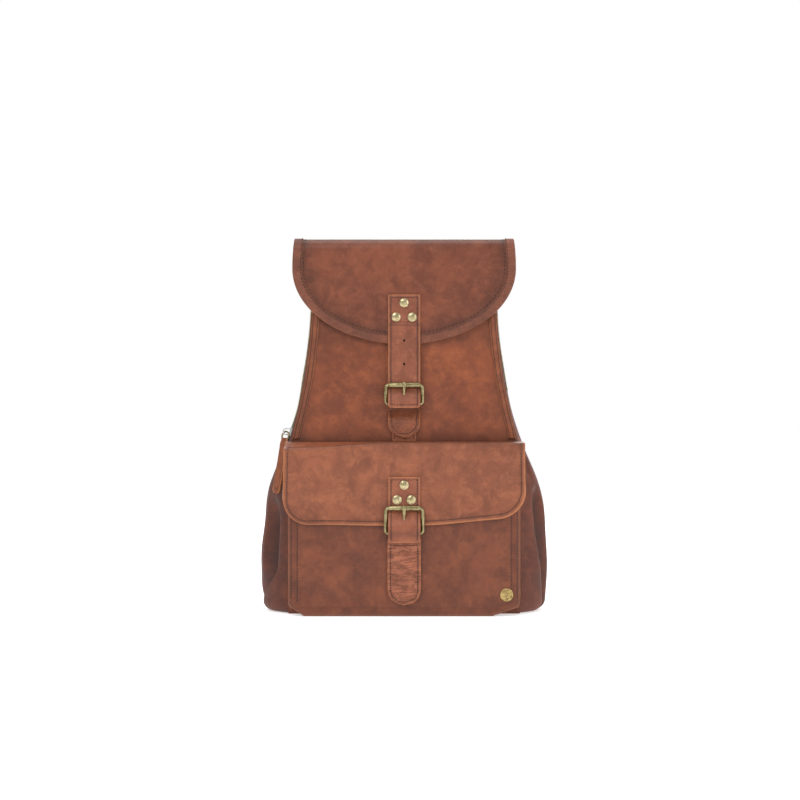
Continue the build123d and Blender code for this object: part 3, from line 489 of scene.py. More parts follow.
def fold(side, share, z):
    """How far the soft side is pushed in, or out where it swells beside a crease."""
    soft = 1.6 * uneven(side * 40 + share * 90, z, 7, 48) * ease(z, 4, 40) * ease(z, 340, 240)
    soft *= ease(share, 0.0, 0.2) * ease(share, 1.0, 0.85)
    if side < 0:
        bottom = share - 0.2 - 0.3 * ease(z, 52, 2)
        deep = 15 * ease(z, 134, 96) * (0.35 + 0.65 * ease(z, 0, 40))
        narrow = 0.07
        soft -= 5 * near(share - 0.42, 0.07) * near(z - 95, 55)
    else:
        bottom = share - 0.25 - 0.13 * ease(z, 120, 5)
        deep = 15 * ease(z, 142, 112) * (0.45 + 0.55 * ease(z, 0, 40))
        narrow = 0.065
        soft -= 5 * near(share - 0.17, 0.06) * near(z - 166, 16)
    return soft - deep * near(bottom, narrow)


# painted shade: darker along the deep crease in each side
def crease_painted_shade(side, share, z):
    if side < 0:
        line = share - 0.2 - 0.3 * ease(z, 52, 2)
        return 0.75 * near(line, 0.07) * ease(z, 140, 96)
    line = share - 0.25 - 0.13 * ease(z, 120, 5)
    return 0.75 * near(line, 0.07) * ease(z, 150, 112)


def wall_length(share):
    top = along(CROWN, share)
    arcs = pi / 2 * (FOOT_RADIUS + CROWN_RADIUS)
    return arcs + top - CROWN_RADIUS - FOOT_RADIUS + along(FRONT_HALF, top) - CROWN_RADIUS


def wall_xz(share, run, inset=0.0):
    """Half width and height of the bag's side, run millimetres up it from its base."""
    top = along(CROWN, share)
    foot = FOOT_RADIUS * pi / 2
    rise = top - CROWN_RADIUS - FOOT_RADIUS
    bend = CROWN_RADIUS * pi / 2
    if run < foot:
        angle = run / FOOT_RADIUS
        low = half_width(share, FOOT_RADIUS) - FOOT_RADIUS
        reach = FOOT_RADIUS - inset
        return low + reach * sin(angle), FOOT_RADIUS - reach * cos(angle)
    if run < foot + rise:
        z = FOOT_RADIUS + run - foot
        return half_width(share, z) - inset, z
    high = top - CROWN_RADIUS
    side = half_width(share, high)
    reach = CROWN_RADIUS - inset
    if run < foot + rise + bend:
        angle = (run - foot - rise) / CROWN_RADIUS
        return side - CROWN_RADIUS + reach * cos(angle), high + reach * sin(angle)
    left = max(side - CROWN_RADIUS - (run - foot - rise - bend), 0)
    return left, top - inset


def run_at(z):
    return FOOT_RADIUS * pi / 2 + z - FOOT_RADIUS


def wall_point(side, y, run, inset=0.0):
    share = (y - FRONT_Y) / DEPTH
    x, z = wall_xz(share, run, inset)
    if z < 360:
        x += fold(side, share, z)
    return Vector((side * x, y, z)) * MM


# ---- front and back panels: two whole hides, the front one a little hollow beside its strap
panel_front = leather("panel_front", (0.153, 0.034, 0.011), (0.255, 0.062, 0.019), (0.388, 0.104, 0.031),
                      shift=0.1)
panel_back = leather("panel_back", (0.127, 0.03, 0.01), (0.216, 0.054, 0.018), (0.323, 0.088, 0.029),
                     shift=0.5)


def outline_half(stops, z, top, inset=0.0):
    high = top - CROWN_RADIUS
    half = along(stops, min(z, high))
    if z > high:
        half -= CROWN_RADIUS - sqrt(max(CROWN_RADIUS**2 - (z - high) ** 2, 0))
    return half - inset


def front_face(u, v):
    z = v * FRONT_TOP
    x = (2 * u - 1) * outline_half(FRONT_HALF, z, FRONT_TOP)
    hollow = ease(abs(x), 20, 45) * ease(abs(x), 100, 80) * ease(z, 396, 370)
    dip = (1.3 + 1.1 * uneven(x, z, 3, 60)) * hollow
    return Vector((x, FRONT_Y + dip, z)) * MM


# painted shade: darker near the panel's edges, along the pocket flap's fold at 186 mm, and above 285 mm under
# the top flap
def front_painted_shade(u, v):
    z = v * FRONT_TOP
    edge = min(u, 1 - u) * 2 * outline_half(FRONT_HALF, z, FRONT_TOP)
    return 0.4 * near(edge, 12) + 0.5 * near(z - 186, 9) + 0.35 * ease(z, 285, 300)


front = sheet("front_panel_hide", 90, 150, front_face, HIDE * MM, panel_front, shade=front_painted_shade)
finish(front, "bag", "front_panel", "front_panel")


def back_face(u, v):
    z = v * BACK_TOP
    x = (1 - 2 * u) * outline_half(BACK_HALF, z, BACK_TOP)
    centre = ease(abs(x), 100, 60)
    pad = 0.9 * uneven(x, z, 9, 70) * centre * ease(z, 20, 60) * ease(z, 300, 250)
    return Vector((x, BACK_Y - max(pad, -0.9) - 0.9 * centre, z)) * MM


# painted shade: darker near the panel's edges and along its foot
def back_painted_shade(u, v):
    z = v * BACK_TOP
    edge = min(u, 1 - u) * 2 * outline_half(BACK_HALF, z, BACK_TOP)
    return 0.5 * near(edge, 8) + 0.4 * near(z, 12)


back = sheet("back_panel_hide", 80, 120, back_face, HIDE * MM, panel_back, shade=back_painted_shade)
finish(back, "bag", "back_panel", "back_panel")


def inset_line(stops, top, inset, z_low):
    """The (u, v) line that lies inset from a panel's edge, from z_low up and over to z_low."""
    points = 60
    right = []
    for k in range(points + 1):
        z = z_low + (top - CROWN_RADIUS - z_low) * k / points
        whole = outline_half(stops, z, top)
        right.append((0.5 + 0.5 * (whole - inset) / whole, z / top))
    bends = 12
    for k in range(1, bends + 1):
        angle = pi / 2 * k / bends
        reach = CROWN_RADIUS - inset
        side = along(stops, top - CROWN_RADIUS)
        x = side - CROWN_RADIUS + reach * cos(angle)
        z = top - CROWN_RADIUS + reach * sin(angle)
        right.append((0.5 + 0.5 * x / outline_half(stops, z, top), z / top))
    return right + [(1 - u, v) for u, v in reversed(right)]


seam("back_panel_seam", "bag", back_face, [inset_line(BACK_HALF, BACK_TOP, 4.5, 10)])

# ---- seam bands: the front panel's turned edges, raised and sewn down in close rows
BAND = 8.6
BAND_RISE = 1.2
BAND_LOW = 190
band_run = wall_length(0) - run_at(BAND_LOW)
band_leather = leather("band_leather", (0.142, 0.035, 0.012), (0.257, 0.066, 0.021), (0.399, 0.125, 0.04),
                       shift=0.9)


def band_face(side):
    def place(u, v):
        inset = 0.4 + BAND * (u if side < 0 else 1 - u)
        x, z = wall_xz(0, run_at(BAND_LOW) + band_run * v, inset)
        swell = sqrt(max(1 - abs(2 * u - 1) ** 6, 0))
        grooves = 0.25 * near(abs(u - 0.5) - 0.27, 0.05)
        rise = (BAND_RISE + 0.15 * uneven(x, z, 2, 6) - grooves) * swell
        return Vector((side * x, FRONT_Y - rise, z)) * MM
    return place


for name, side in SIDES:
    place = band_face(side)
    band = sheet(f"seam_band_{name}_hide", 14, 150, place, 0.9 * MM, band_leather,
                 worn=lambda u, v: 0.4 * near(min(u, 1 - u), 0.07),
                 shade=lambda u, v: 0.55 * near(abs(u - 0.5) - 0.27, 0.06))
    finish(band, "bag", f"seam_band_{name}", f"seam_band_{name}")
    rows = [line_up(u) for u in (0.23, 0.77)]
    seam(f"seam_band_{name}_stitches", "bag", place, rows, 0.16, 3.0)

# ---- gussets: the darker soft sides, which fold in above the base and carry the zip
GUSSET_ROWS = 56
ZIP_SLOT = 7
ZIP_LOW = {-1: 188, 1: 246}
MOUTH_HALF = 88
MOUTH_BOW = 44
MOUTH_SHARE = 0.2
WALL_SHARE = 0.3
BEND_LOW = 340
mouth_radius = (MOUTH_HALF**2 + MOUTH_BOW**2) / (2 * MOUTH_BOW)
gusset_leather = {
    -1: leather("gusset_left_leather", (0.068, 0.014, 0.006), (0.13, 0.028, 0.01), (0.23, 0.055, 0.018),
                gloss=0.6, shift=1.3, wrinkle=0.25),
    1: leather("gusset_right_leather", (0.081, 0.018, 0.008), (0.157, 0.037, 0.015), (0.285, 0.072, 0.027),
               gloss=0.6, shift=1.9, wrinkle=0.25),
}


def mouth_bow(run):
    """How far back the open mouth's rear edge bows, at a length up the side's wall."""
    x = wall_xz(MOUTH_SHARE, run)[0]
    if run <= run_at(BEND_LOW) or x >= MOUTH_HALF:
        return 0.0
    return sqrt(mouth_radius**2 - x * x) - mouth_radius + MOUTH_BOW


def gusset_face(side):
    front_rows, slot_rows = 5 / GUSSET_ROWS, 11 / GUSSET_ROWS
    length = wall_length(WALL_SHARE)

    def place(u, v):
        share = u if side > 0 else 1 - u
        run = length * v
        far = ZIP_Y + ZIP_SLOT + mouth_bow(run)
        near_edge = ZIP_Y - ZIP_SLOT
        if share < front_rows:
            y = FRONT_Y + (near_edge - FRONT_Y) * share / front_rows
        elif share < slot_rows:
            y = near_edge + (far - near_edge) * (share - front_rows) / (slot_rows - front_rows)
        else:
            y = far + (BACK_Y - far) * (share - slot_rows) / (1 - slot_rows)
        return wall_point(side, y, run)

    def open_here(u, v):
        share = u if side > 0 else 1 - u
        return front_rows < share < slot_rows and length * v > run_at(ZIP_LOW[side])

    return place, open_here


for name, side in SIDES:
    place, open_here = gusset_face(side)
    gusset = sheet(f"gusset_{name}_hide", GUSSET_ROWS, 170, place, HIDE * MM, gusset_leather[side],
                   shade=lambda u, v: crease_painted_shade(side, u if side > 0 else 1 - u,
                                                  v * wall_length(WALL_SHARE)),
                   cut=open_here)
    finish(gusset, "bag", f"gusset_{name}", f"gusset_{name}")

# ---- base, board and stiffening: the base hide stands on the floor, with a black board
# over it, and a sheet of foam pads the back between its hide and the lining
base_leather = leather("base_leather", (0.098, 0.024, 0.009), (0.167, 0.042, 0.015), (0.265, 0.072, 0.026),
                       shift=2.3)


def coat(material, *nodes):
    for name in nodes:
        piece = frame["nodes"][name]
        piece.data.materials.clear()
        piece.data.materials.append(material)


coat(base_leather, "base_panel", "pocket_flap_welt", "flap_seam")
board = Nodes("board_plastic")
board.feed(board.shader, Roughness=0.6, Normal=board.bump(board.noise(900, 2), 0.0002, 0.5))
board.feed(board.shader, Base_Color=board.blend(board.noise(60), (0.02, 0.02, 0.02), (0.04, 0.04, 0.04)))
coat(board.material, "base_board")

foam_low, foam_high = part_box("back_foam")
foam_middle_y = middle_of("back_foam")[1]
FOAM_HALF = ((8, 119), (40, 126), (135, 120), (200, 105), (322, 87), (384, 84))


def foam_point(side):
    def place(u, v):
        z = foam_low.z / MM + 3 + (foam_high.z / MM - foam_low.z / MM - 6) * v
        x = (2 * u - 1) * (along(FOAM_HALF, z) - 6)
        edge = min(ease(min(u, 1 - u), 0, 0.08), ease(min(v, 1 - v), 0, 0.04))
        quilt = 1 - 0.35 * near((x + z) % 40 - 20, 3) - 0.35 * near((x - z) % 40 - 20, 3)
        return Vector((x * side, foam_middle_y - side * 2.3 * edge * quilt, z)) * MM
    return place


foam_grey = Nodes("foam_grey")
foam_grey.feed(foam_grey.shader, Roughness=0.9, Normal=foam_grey.bump(foam_grey.cells(900), 0.0004, 0.6))
foam_tone = foam_grey.blend(foam_grey.noise(300), (0.1, 0.1, 0.1), (0.2, 0.2, 0.2))
foam_grey.feed(foam_grey.shader, Base_Color=foam_tone)
foam = sheet("back_foam_near", 48, 72, foam_point(1), 0, foam_grey.material)
foam_far = sheet("back_foam_far", 48, 72, foam_point(-1), 0, foam_grey.material)


def joined(*pieces):
    """Several pieces made one, under the first one's name."""
    bpy.ops.object.select_all(action="DESELECT")
    for piece in pieces:
        piece.select_set(True)
    bpy.context.view_layer.objects.active = pieces[0]
    bpy.ops.object.join()
    return pieces[0]


foam = weld(joined(foam, foam_far), 0.0001)
foam.name = "back_foam_pad"
finish(foam, "bag", "back_foam", "back_foam")

# ---- lining: plain woven cotton, loose inside the hides and open under the mouth
LINING_INSET = 4.6
lining_front, lining_back = (corner.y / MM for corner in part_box("lining"))


def cloth(name, dark, light, threads=1500):
    n = Nodes(name)
    weft = n.add("ShaderNodeTexWave", wave_type="BANDS", bands_direction="X")
    warp = n.add("ShaderNodeTexWave", wave_type="BANDS", bands_direction="Z")
    for wave in (weft, warp):
        n.feed(wave, Vector=n.place, Scale=threads / 6.28, Distortion=1.5, Detail=1.0)
    weave = n.sums("MULTIPLY", weft.outputs["Fac"], warp.outputs["Fac"])
    tone = n.blend(weave, dark, light)
    tone = n.blend(n.scaled(n.noise(30, 4), 0, 0.4), tone, [c * 0.7 for c in dark])
    n.feed(n.shader, Base_Color=tone, Roughness=0.85, Normal=n.bump(weave, 0.00025, 0.5))
    n.shader.inputs["Sheen Weight"].default_value = 0.25
    return n.material


lining_cotton = cloth("lining_cotton", (0.2, 0.155, 0.09), (0.36, 0.29, 0.18))


def lining_side(side):
    length = wall_length(WALL_SHARE)

    def place(u, v):
        y = lining_front + (lining_back - lining_front) * u
        ripple = 0.7 * uneven(side * 30 + y, v * 300, 4, 30)
        point = wall_point(side, y, length * v, LINING_INSET + 1.2 + ripple)
        if length * v < run_at(150):
            point.x = side * min(abs(point.x), (half_width(0.2, point.z / MM) - 9) * MM)
        return point

    def open_here(u, v):
        y = lining_front + (lining_back - lining_front) * u
        slot_high = ZIP_Y + ZIP_SLOT + mouth_bow(length * v)
        return ZIP_Y - ZIP_SLOT < y < slot_high and length * v > run_at(ZIP_LOW[side])

    return place, open_here


def lining_flat(y, stops, top, turn):
    def place(u, v):
        z = 5 + v * (top - 10)
        x = turn * (2 * u - 1) * outline_half(stops, z, top, LINING_INSET + 1.4)
        return Vector((x, y + 0.6 * uneven(x, z, 2, 40), z)) * MM
    return place


lining_parts = []
for side in (-1, 1):
    place, open_here = lining_side(side)
    lining_parts.append(sheet("lining_side", 60, 130, place, 0.5 * MM, lining_cotton, cut=open_here))
lining_parts.append(sheet("lining_near", 30, 60, lining_flat(lining_front + 1, FRONT_HALF, FRONT_TOP, -1),
                          0.5 * MM, lining_cotton))
lining_parts.append(sheet("lining_far", 30, 60, lining_flat(lining_back - 1, BACK_HALF, BACK_TOP, 1),
                          0.5 * MM, lining_cotton))
lining = joined(*lining_parts)
lining.name = "lining_cloth"
finish(lining, "bag", "lining", "lining")

# ---- metal: cast and drawn hardware, antiqued brown in its corners and rubbed bright
# where hands and straps touch it; the slider is plated


def metal(name, dark, body, bright, rough=0.34, dent=0.5):
    n = Nodes(name)
    patina = n.noise(240, 5, 0.6, twist=0.4)
    tone = n.blend(n.ramp(patina, 0.38, 0.62), dark, body)
    tone = n.blend(n.sums("MULTIPLY", n.ramp(n.noise(900, 3), 0.52, 0.7), 0.5), tone, bright)
    n.feed(n.shader, Base_Color=tone, Roughness=n.scaled(patina, rough + 0.12, rough - 0.06))
    n.feed(n.shader, Normal=n.bump(n.noise(1400, 3, 0.6), 0.0001, dent))
    n.shader.inputs["Metallic"].default_value = 1.0
    return n.material


antique_brass = metal("antique_brass", (0.2, 0.16, 0.075), (0.34, 0.29, 0.15), (0.56, 0.5, 0.3))
bright_brass = metal("rubbed_brass", (0.36, 0.29, 0.15), (0.56, 0.47, 0.27), (0.8, 0.72, 0.5), 0.26, 0.3)
steel_plate = metal("slider_plate", (0.3, 0.3, 0.28), (0.55, 0.55, 0.53), (0.8, 0.8, 0.78), 0.24, 0.25)
zip_brass = metal("zip_brass", (0.2, 0.14, 0.06), (0.42, 0.33, 0.16), (0.66, 0.56, 0.33), 0.3)
coat(antique_brass, "main_buckle_frame", "pocket_buckle_frame", "puller_ring", "handle_brackets",
     "ring_left", "ring_right", "shoulder_adjuster_left", "shoulder_adjuster_right", "popper_stud",
     "popper_socket")

# ---- the main zip: woven tape on both sides of the slot, with one brass tooth every
# 2.2 mm along each tape's edge; over the mouth the back tape bows away
zip_tape_cloth = cloth("zip_tape_cloth", (0.03, 0.016, 0.01), (0.1, 0.058, 0.036), 2600)
TOOTH_PITCH = 2.2
TOOTH_SINK = -0.3


def zip_runs(side):
    """Where the zip starts on the side's wall, and the middle of the crown where it ends."""
    return run_at(ZIP_LOW[side]) - 3, wall_length(MOUTH_SHARE)


def tape_face(side, back):
    start, whole = zip_runs(side)

    def place(u, v):
        run = start + (whole - start) * v
        bow = mouth_bow(run) if back else 0
        reach = 2.2 + 9.3 * (u if back == (side > 0) else 1 - u)
        y = ZIP_Y + (bow + reach if back else -reach)
        return wall_point(side, y, run, TOOTH_SINK + 0.5)
    return place


for part, back in (("front", False), ("back", True)):
    tapes = [sheet("tape", 6, 120, tape_face(side, back), 0.6 * MM, zip_tape_cloth) for side in (-1, 1)]
    tape = joined(*tapes)
    tape.name = f"zip_tape_{part}_woven"
    finish(tape, "bag", f"zip_tape_{part}", f"zip_tape_{part}")

bpy.ops.object.select_all(action="DESELECT")
bpy.ops.mesh.primitive_cube_add(size=1)
tooth = bpy.context.object
tooth.data.transform(Matrix.Diagonal((1.35, 2.6, 1.7, 1)))
tooth_edge = tooth.modifiers.new("edge", "BEVEL")
tooth_edge.width = 0.32
tooth_edge.segments = 1
carry_out(tooth, tooth_edge)
tooth_spots = [v.co.copy() for v in tooth.data.vertices]
tooth_faces = [tuple(f.vertices) for f in tooth.data.polygons]
bpy.data.objects.remove(tooth)


def tooth_line(side, back):
    start, whole = zip_runs(side)

    def place(u, v):
        run = start + (whole - start) * v
        bow = mouth_bow(run) if back else 0
        reach = 1.6 + (u - 0.5) * 2
        y = ZIP_Y + (bow + reach if back else -reach)
        return wall_point(side, y, run, TOOTH_SINK)
    return place


for part, back in (("front", False), ("back", True)):
    frames = []
    for side in (-1, 1):
        row = spaced(tooth_line(side, back), line_up(0.5, count=60), TOOTH_PITCH)
        flip = 1 if (side > 0) == back else -1
        frames += [(spot, ahead, out * flip) for spot, ahead, out in row]
    teeth = copies(f"zip_teeth_{part}_row", tooth_spots, tooth_faces, frames, zip_brass)
    finish(teeth, "bag", f"zip_teeth_{part}", f"zip_teeth_{part}")
stops = [spaced(tooth_line(side, True), [(0.5, 0), (0.5, 0.1)], TOOTH_PITCH)[0] for side in (-1, 1)]
stops = [(spot, ahead, out * side) for side, (spot, ahead, out) in zip((-1, 1), stops)]
stop_model = [Vector((p.x * 1.7, p.y * 2.2, p.z * 1.3)) for p in tooth_spots]
zip_stops = copies("zip_stop_blocks", stop_model, tooth_faces, stops, zip_brass)
finish(zip_stops, "bag", "zip_stops", "zip_stops")
for name, side in SIDES:
    start, whole = zip_runs(side)

    def beside_zip(u, v):
        run = start + (whole - start) * v
        y = ZIP_Y + ZIP_SLOT + 2.2 + mouth_bow(run) + u * 3
        return wall_point(side, y, run)
    seam(f"gusset_{name}_stitches", "bag", beside_zip, [line_up(0.1, count=60)],
         0.1)

# ---- the slider: a plated body with a rounded lid and a bail, on the left run of the zip
coat(steel_plate, "zip_slider")

# ---- the puller: two small hides sewn face to face over an antique ring
puller_leather = leather("puller_leather", (0.157, 0.04, 0.014), (0.294, 0.08, 0.029), (0.431, 0.136, 0.049),
                         shift=2.9)


def joint_at(name):
    """The place of a joint, in metres."""
    return Vector(next(j for j in frame["joints"] if j["name"] == name)["pos_m"])


PULLER_LEAN = radians(12)
puller_pivot = joint_at("zip_puller_swing")
puller_across = Vector((cos(radians(45)), -sin(radians(45)), 0))
puller_out = (Vector((-cos(radians(45)), -sin(radians(45)), 0)) * cos(PULLER_LEAN)
              + Vector((0, 0, 1)) * sin(PULLER_LEAN))
puller_down = puller_out.cross(puller_across)
if puller_down.z > 0:
    puller_down = -puller_down
PULLER_TOP, PULLER_LONG, PULLER_WIDE = 7.2, 62.0, 12.0


def puller_face(turn):
    def place(u, v):
        d = v * PULLER_LONG
        round_end = PULLER_WIDE / 2
        left = PULLER_LONG - d
        half = PULLER_WIDE / 2 - 0.4 * near(d - 20, 18)
        if left < round_end:
            half *= sqrt(max(1 - (1 - left / round_end) ** 2, 0))
        if d < 5:
            half *= 0.72 + 0.28 * d / 5
        across = (2 * u - 1) * half * turn
        bulge = 1.45 - 0.5 * abs(2 * u - 1) ** 3 + 0.12 * uneven(across, d, turn * 5, 5)
        curl = 1.6 * (d / PULLER_LONG) ** 2
        return (puller_pivot + puller_down * (PULLER_TOP + d) * MM + puller_across * across * MM
                + puller_out * (turn * bulge + curl * 0.3) * MM)
    return place


front_half = sheet("puller_near", 14, 60, puller_face(-1), 0, puller_leather,
                   worn=lambda u, v: 0.8 * near(min(u, 1 - u), 0.12))
back_half = sheet("puller_far", 14, 60, puller_face(1), 0, puller_leather,
                  worn=lambda u, v: 0.8 * near(min(u, 1 - u), 0.12))


def puller_rim(u, v):
    side_u, along_v = (0.0, 2 * v) if v < 0.5 else (1.0, 2 - 2 * v)
    return puller_face(-1)(side_u, along_v).lerp(puller_face(1)(1 - side_u, along_v), u)


rim = sheet("puller_rim", 4, 120, puller_rim, 0, puller_leather, worn=lambda u, v: 0.9)
puller = weld(joined(front_half, back_half, rim), 0.00005)
puller.name = "puller_hides"
finish(puller, "zip_puller", "puller_tab", "puller_tab")
puller_rows = [line_up(0.13, 0.1, 0.72, 20) + [(0.3, 0.9), (0.5, 0.925), (0.7, 0.9)]
               + line_up(0.87, 0.82, -0.72, 20)]
seam("puller_stitches", "zip_puller", puller_face(1), puller_rows, 0.1, 2.8)

# ---- top flap: one hide from the back hinge over the crown to a D-shaped front, cotton
# lined, with a narrow strip of softer hide folded round its edge and gathered at the curve
FLAP_HALF, FLAP_SIDE_Z, FLAP_TIP_Z = 121.5, 375.0, 293.0
flap_low, flap_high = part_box("flap_leather")
flap_front_y, flap_back_y = flap_low.y / MM, flap_high.y / MM
flap_top_z = flap_high.z / MM
FLAP_BEND = 12.0
FLAP_BACK_BEND = 6.0
BIND = 9.5
BINDING_SEAM, INNER_SEAM = 7.9, 11.2
flap_leather_finish = leather("flap_hide", (0.111, 0.026, 0.011), (0.193, 0.05, 0.021), (0.295, 0.086, 0.036),
                              gloss=0.4, shift=3.7)
binding_leather = leather("binding_hide", (0.124, 0.034, 0.016), (0.192, 0.055, 0.025), (0.267, 0.087, 0.042),
                          gloss=0.5, shift=4.3, wrinkle=0.35)


def flap_depth(s):
    """(y, z) on the flap's outer face, s millimetres up and over from its side line."""
    straight = flap_top_z - FLAP_BEND - FLAP_SIDE_Z
    bend = FLAP_BEND * pi / 2
    across = flap_back_y - flap_front_y - FLAP_BEND - FLAP_BACK_BEND
    far_bend = FLAP_BACK_BEND * pi / 2
    if s < straight:
        return flap_front_y, FLAP_SIDE_Z + s
    s -= straight
    if s < bend:
        angle = s / FLAP_BEND
        return (flap_front_y + FLAP_BEND * (1 - cos(angle)),
                flap_top_z - FLAP_BEND * (1 - sin(angle)))
    s -= bend
    if s < across:
        return flap_front_y + FLAP_BEND + s, flap_top_z
    s -= across
    if s < far_bend:
        angle = s / FLAP_BACK_BEND
        return (flap_back_y - FLAP_BACK_BEND * (1 - sin(angle)),
                flap_top_z - FLAP_BACK_BEND * (1 - cos(angle)))
    return flap_back_y, flap_top_z - FLAP_BACK_BEND - (s - far_bend)


flap_over = (flap_top_z - FLAP_BEND - FLAP_SIDE_Z + FLAP_BEND * pi / 2 + flap_back_y - flap_front_y
             - FLAP_BEND - FLAP_BACK_BEND + FLAP_BACK_BEND * pi / 2 + 1.0)
FLAP_D = 0.45


def flap_outline(u, v, inset=0.0):
    """(x, s) of a spot on the flap: v under FLAP_D is the D, and above it the rest."""
    half = FLAP_HALF - 1 - inset
    if v < FLAP_D:
        a = 2 * u - 1
        b = 1 - v / FLAP_D
        x = half * a * sqrt(1 - b * b / 2)
        return x, -(FLAP_SIDE_Z - FLAP_TIP_Z - 1 - inset) * b * sqrt(1 - a * a / 2)
    s = flap_over * (v - FLAP_D) / (1 - FLAP_D)
    narrow = 1.8 * ease(s, 4, 40)
    return (2 * u - 1) * (half - narrow), s


def flap_point(x, s, lift=0.0):
    if s < 0:
        y, z = flap_front_y, FLAP_SIDE_Z + s
    else:
        y, z = flap_depth(s)
    edge = ease(abs(x), 60, 118)
    sink = 0.9 * uneven(x, s, 11, 55) * ease(s, -70, -50) * ease(abs(x), 18, 34) * ease(s, 22, 10)
    top_wave = 0.5 * uneven(x, s, 17, 60) * ease(s, 40, 55) * ease(s, 130, 115)
    if s < 30:
        y -= lift
        y += max(sink, -0.2) + 0.5 * edge * ease(s, 10, -20)
    else:
        z += lift
        z += min(top_wave, 0.0)
    return Vector((x, y, z)) * MM


def flap_face(u, v):
    return flap_point(*flap_outline(u, v))


def flap_edge(u, v):
    if v < FLAP_D:
        a, b = abs(2 * u - 1), 1 - v / FLAP_D
        reach = hypot(a * sqrt(1 - b * b / 2), b * sqrt(1 - a * a / 2))
        return (1 - reach) * 82
    return min(u, 1 - u) * 2 * FLAP_HALF


flap = sheet("top_flap_hide", 110, 150, flap_face, HIDE * MM, flap_leather_finish,
             shade=lambda u, v: 0.5 * near(flap_edge(u, v) - BIND, 7) + 0.42 * near(v - 0.62, 0.06))
finish(flap, "top_flap", "flap_leather", "flap_leather")


def flap_rim(t):
    """(x, s) round the flap's edge, from the left back corner by the tip to the right."""
    side = flap_over
    arc = 2.25 * 82
    whole = 2 * side + 2 * arc
    d = t * whole
    if d < side:
        s = side - d
        return -(FLAP_HALF - 1 - 1.8 * ease(s, 4, 40)), s
    if d < side + 2 * arc:
        angle = pi * (d - side) / (2 * arc)
        return -(FLAP_HALF - 1) * cos(angle), -(FLAP_SIDE_Z - FLAP_TIP_Z - 1) * sin(angle)
    s = d - side - 2 * arc
    return FLAP_HALF - 1 - 1.8 * ease(s, 4, 40), s


def binding_face(u, v):
    x, s = flap_rim(v)
    ahead_x, ahead_s = flap_rim(min(v + 0.002, 1))
    back_x, back_s = flap_rim(max(v - 0.002, 0))
    length = hypot(ahead_x - back_x, ahead_s - back_s)
    in_x, in_s = -(ahead_s - back_s) / length, (ahead_x - back_x) / length
    around = u * 2 * BIND + u * 4.0
    curve = ease(s, 20, -10) * (0.35 + 0.65 * ease(abs(around - BIND), 6, 2))
    pucker = (0.62 * uneven(v * 700, u * 1.5, 3, 4.2) + 0.34 * uneven(v * 700, u * 4, 9, 2.2)) * curve
    ragged = 0.2 * uneven(v * 500, 0, 5, 9)
    if around < BIND:
        reach, lift = BIND - around, 0.85 + pucker
        lift -= 0.8 * near(reach - BIND, 0.6)
    elif around < BIND + 4:
        angle = pi * (around - BIND) / 4
        reach = -1.0 * sin(angle) - 0.1
        lift = -HIDE / 2 + (0.85 + HIDE / 2) * cos(angle) + 0.2 * pucker
    else:
        reach, lift = around - BIND - 4, -HIDE - 0.85 - 0.5 * pucker
        lift += 0.8 * near(reach - BIND, 0.6)
    reach += ragged * ease(reach, 3, 8)
    flat_x, flat_s = x + in_x * reach, s + in_s * reach
    if flat_s > flap_over:
        flat_s = flap_over
    base = flap_point(flat_x, flat_s)
    step = 0.5
    right = flap_point(flat_x + step, flat_s) - flap_point(flat_x - step, flat_s)
    upward = flap_point(flat_x, flat_s + step) - flap_point(flat_x, flat_s - step)
    return base + right.cross(upward).normalized() * lift * MM


binding = sheet("flap_binding_hide", 26, 560, binding_face, 0, binding_leather,
                worn=lambda u, v: 0.35 * near(u - 0.5, 0.05) + 0.5 * near(u, 0.015),
                shade=lambda u, v: 0.7 * near(u, 0.035))
skin = binding.modifiers.new("thickness", "SOLIDIFY")
skin.thickness = 0.55 * MM
skin.offset = -1
carry_out(binding, skin)
finish(binding, "top_flap", "flap_binding", "flap_binding")


RING_SCALE = 400


def ring_line(inset):
    """A line inset from the flap's edge, as (x, s) over RING_SCALE."""
    start, stop, count = 0.02, 0.98, 120
    line = []
    for k in range(count + 1):
        t = start + (stop - start) * k / count
        x, s = flap_rim(t)
        ahead, behind = flap_rim(min(t + 0.002, 1)), flap_rim(max(t - 0.002, 0))
        length = hypot(ahead[0] - behind[0], ahead[1] - behind[1])
        x -= (ahead[1] - behind[1]) / length * inset
        s += (ahead[0] - behind[0]) / length * inset
        line.append((x / RING_SCALE, s / RING_SCALE))
    return line


def flat_flap(u, v):
    return flap_point(u * RING_SCALE, v * RING_SCALE)


def on_binding(u, v):
    return flap_point(u * RING_SCALE, v * RING_SCALE, 0.95)


seam("flap_binding_stitches", "top_flap", on_binding, [ring_line(BINDING_SEAM)], 0.05)
seam("flap_inner_stitches", "top_flap", flat_flap, [ring_line(INNER_SEAM)], 0.1, 4.4)


def flap_under(u, v):
    x, s = flap_outline(1 - u, v, BIND)
    return flap_point(x, min(s, flap_over - 2), -HIDE - 0.15)


under = sheet("flap_lining_cloth", 60, 90, flap_under, 0.4 * MM, lining_cotton)
finish(under, "top_flap", "flap_lining", "flap_lining")

# ---- the flap's hinge: a wide strip of hide sewn over the back's upper edge, which bends
# up and over onto the flap
HINGE_HALF = 88.0
hinge_line = ((64.3, 391.5), (64.4, 396.5), (66.3, 400.0), (67.0, 403.0), (66.6, 406.6), (64.2, 409.2),
              (60.0, 410.2), (50.0, 410.3))


def flap_hinge_face(u, v):
    at = v * (len(hinge_line) - 1)
    y = along([(k, spot[0]) for k, spot in enumerate(hinge_line)], at)
    z = along([(k, spot[1]) for k, spot in enumerate(hinge_line)], at)
    x = (1 - 2 * u) * (HINGE_HALF + 0.4 * uneven(v * 40, 0, 3, 9))
    return Vector((x, y, z + 0.15 * uneven(x, v * 30, 4, 12))) * MM


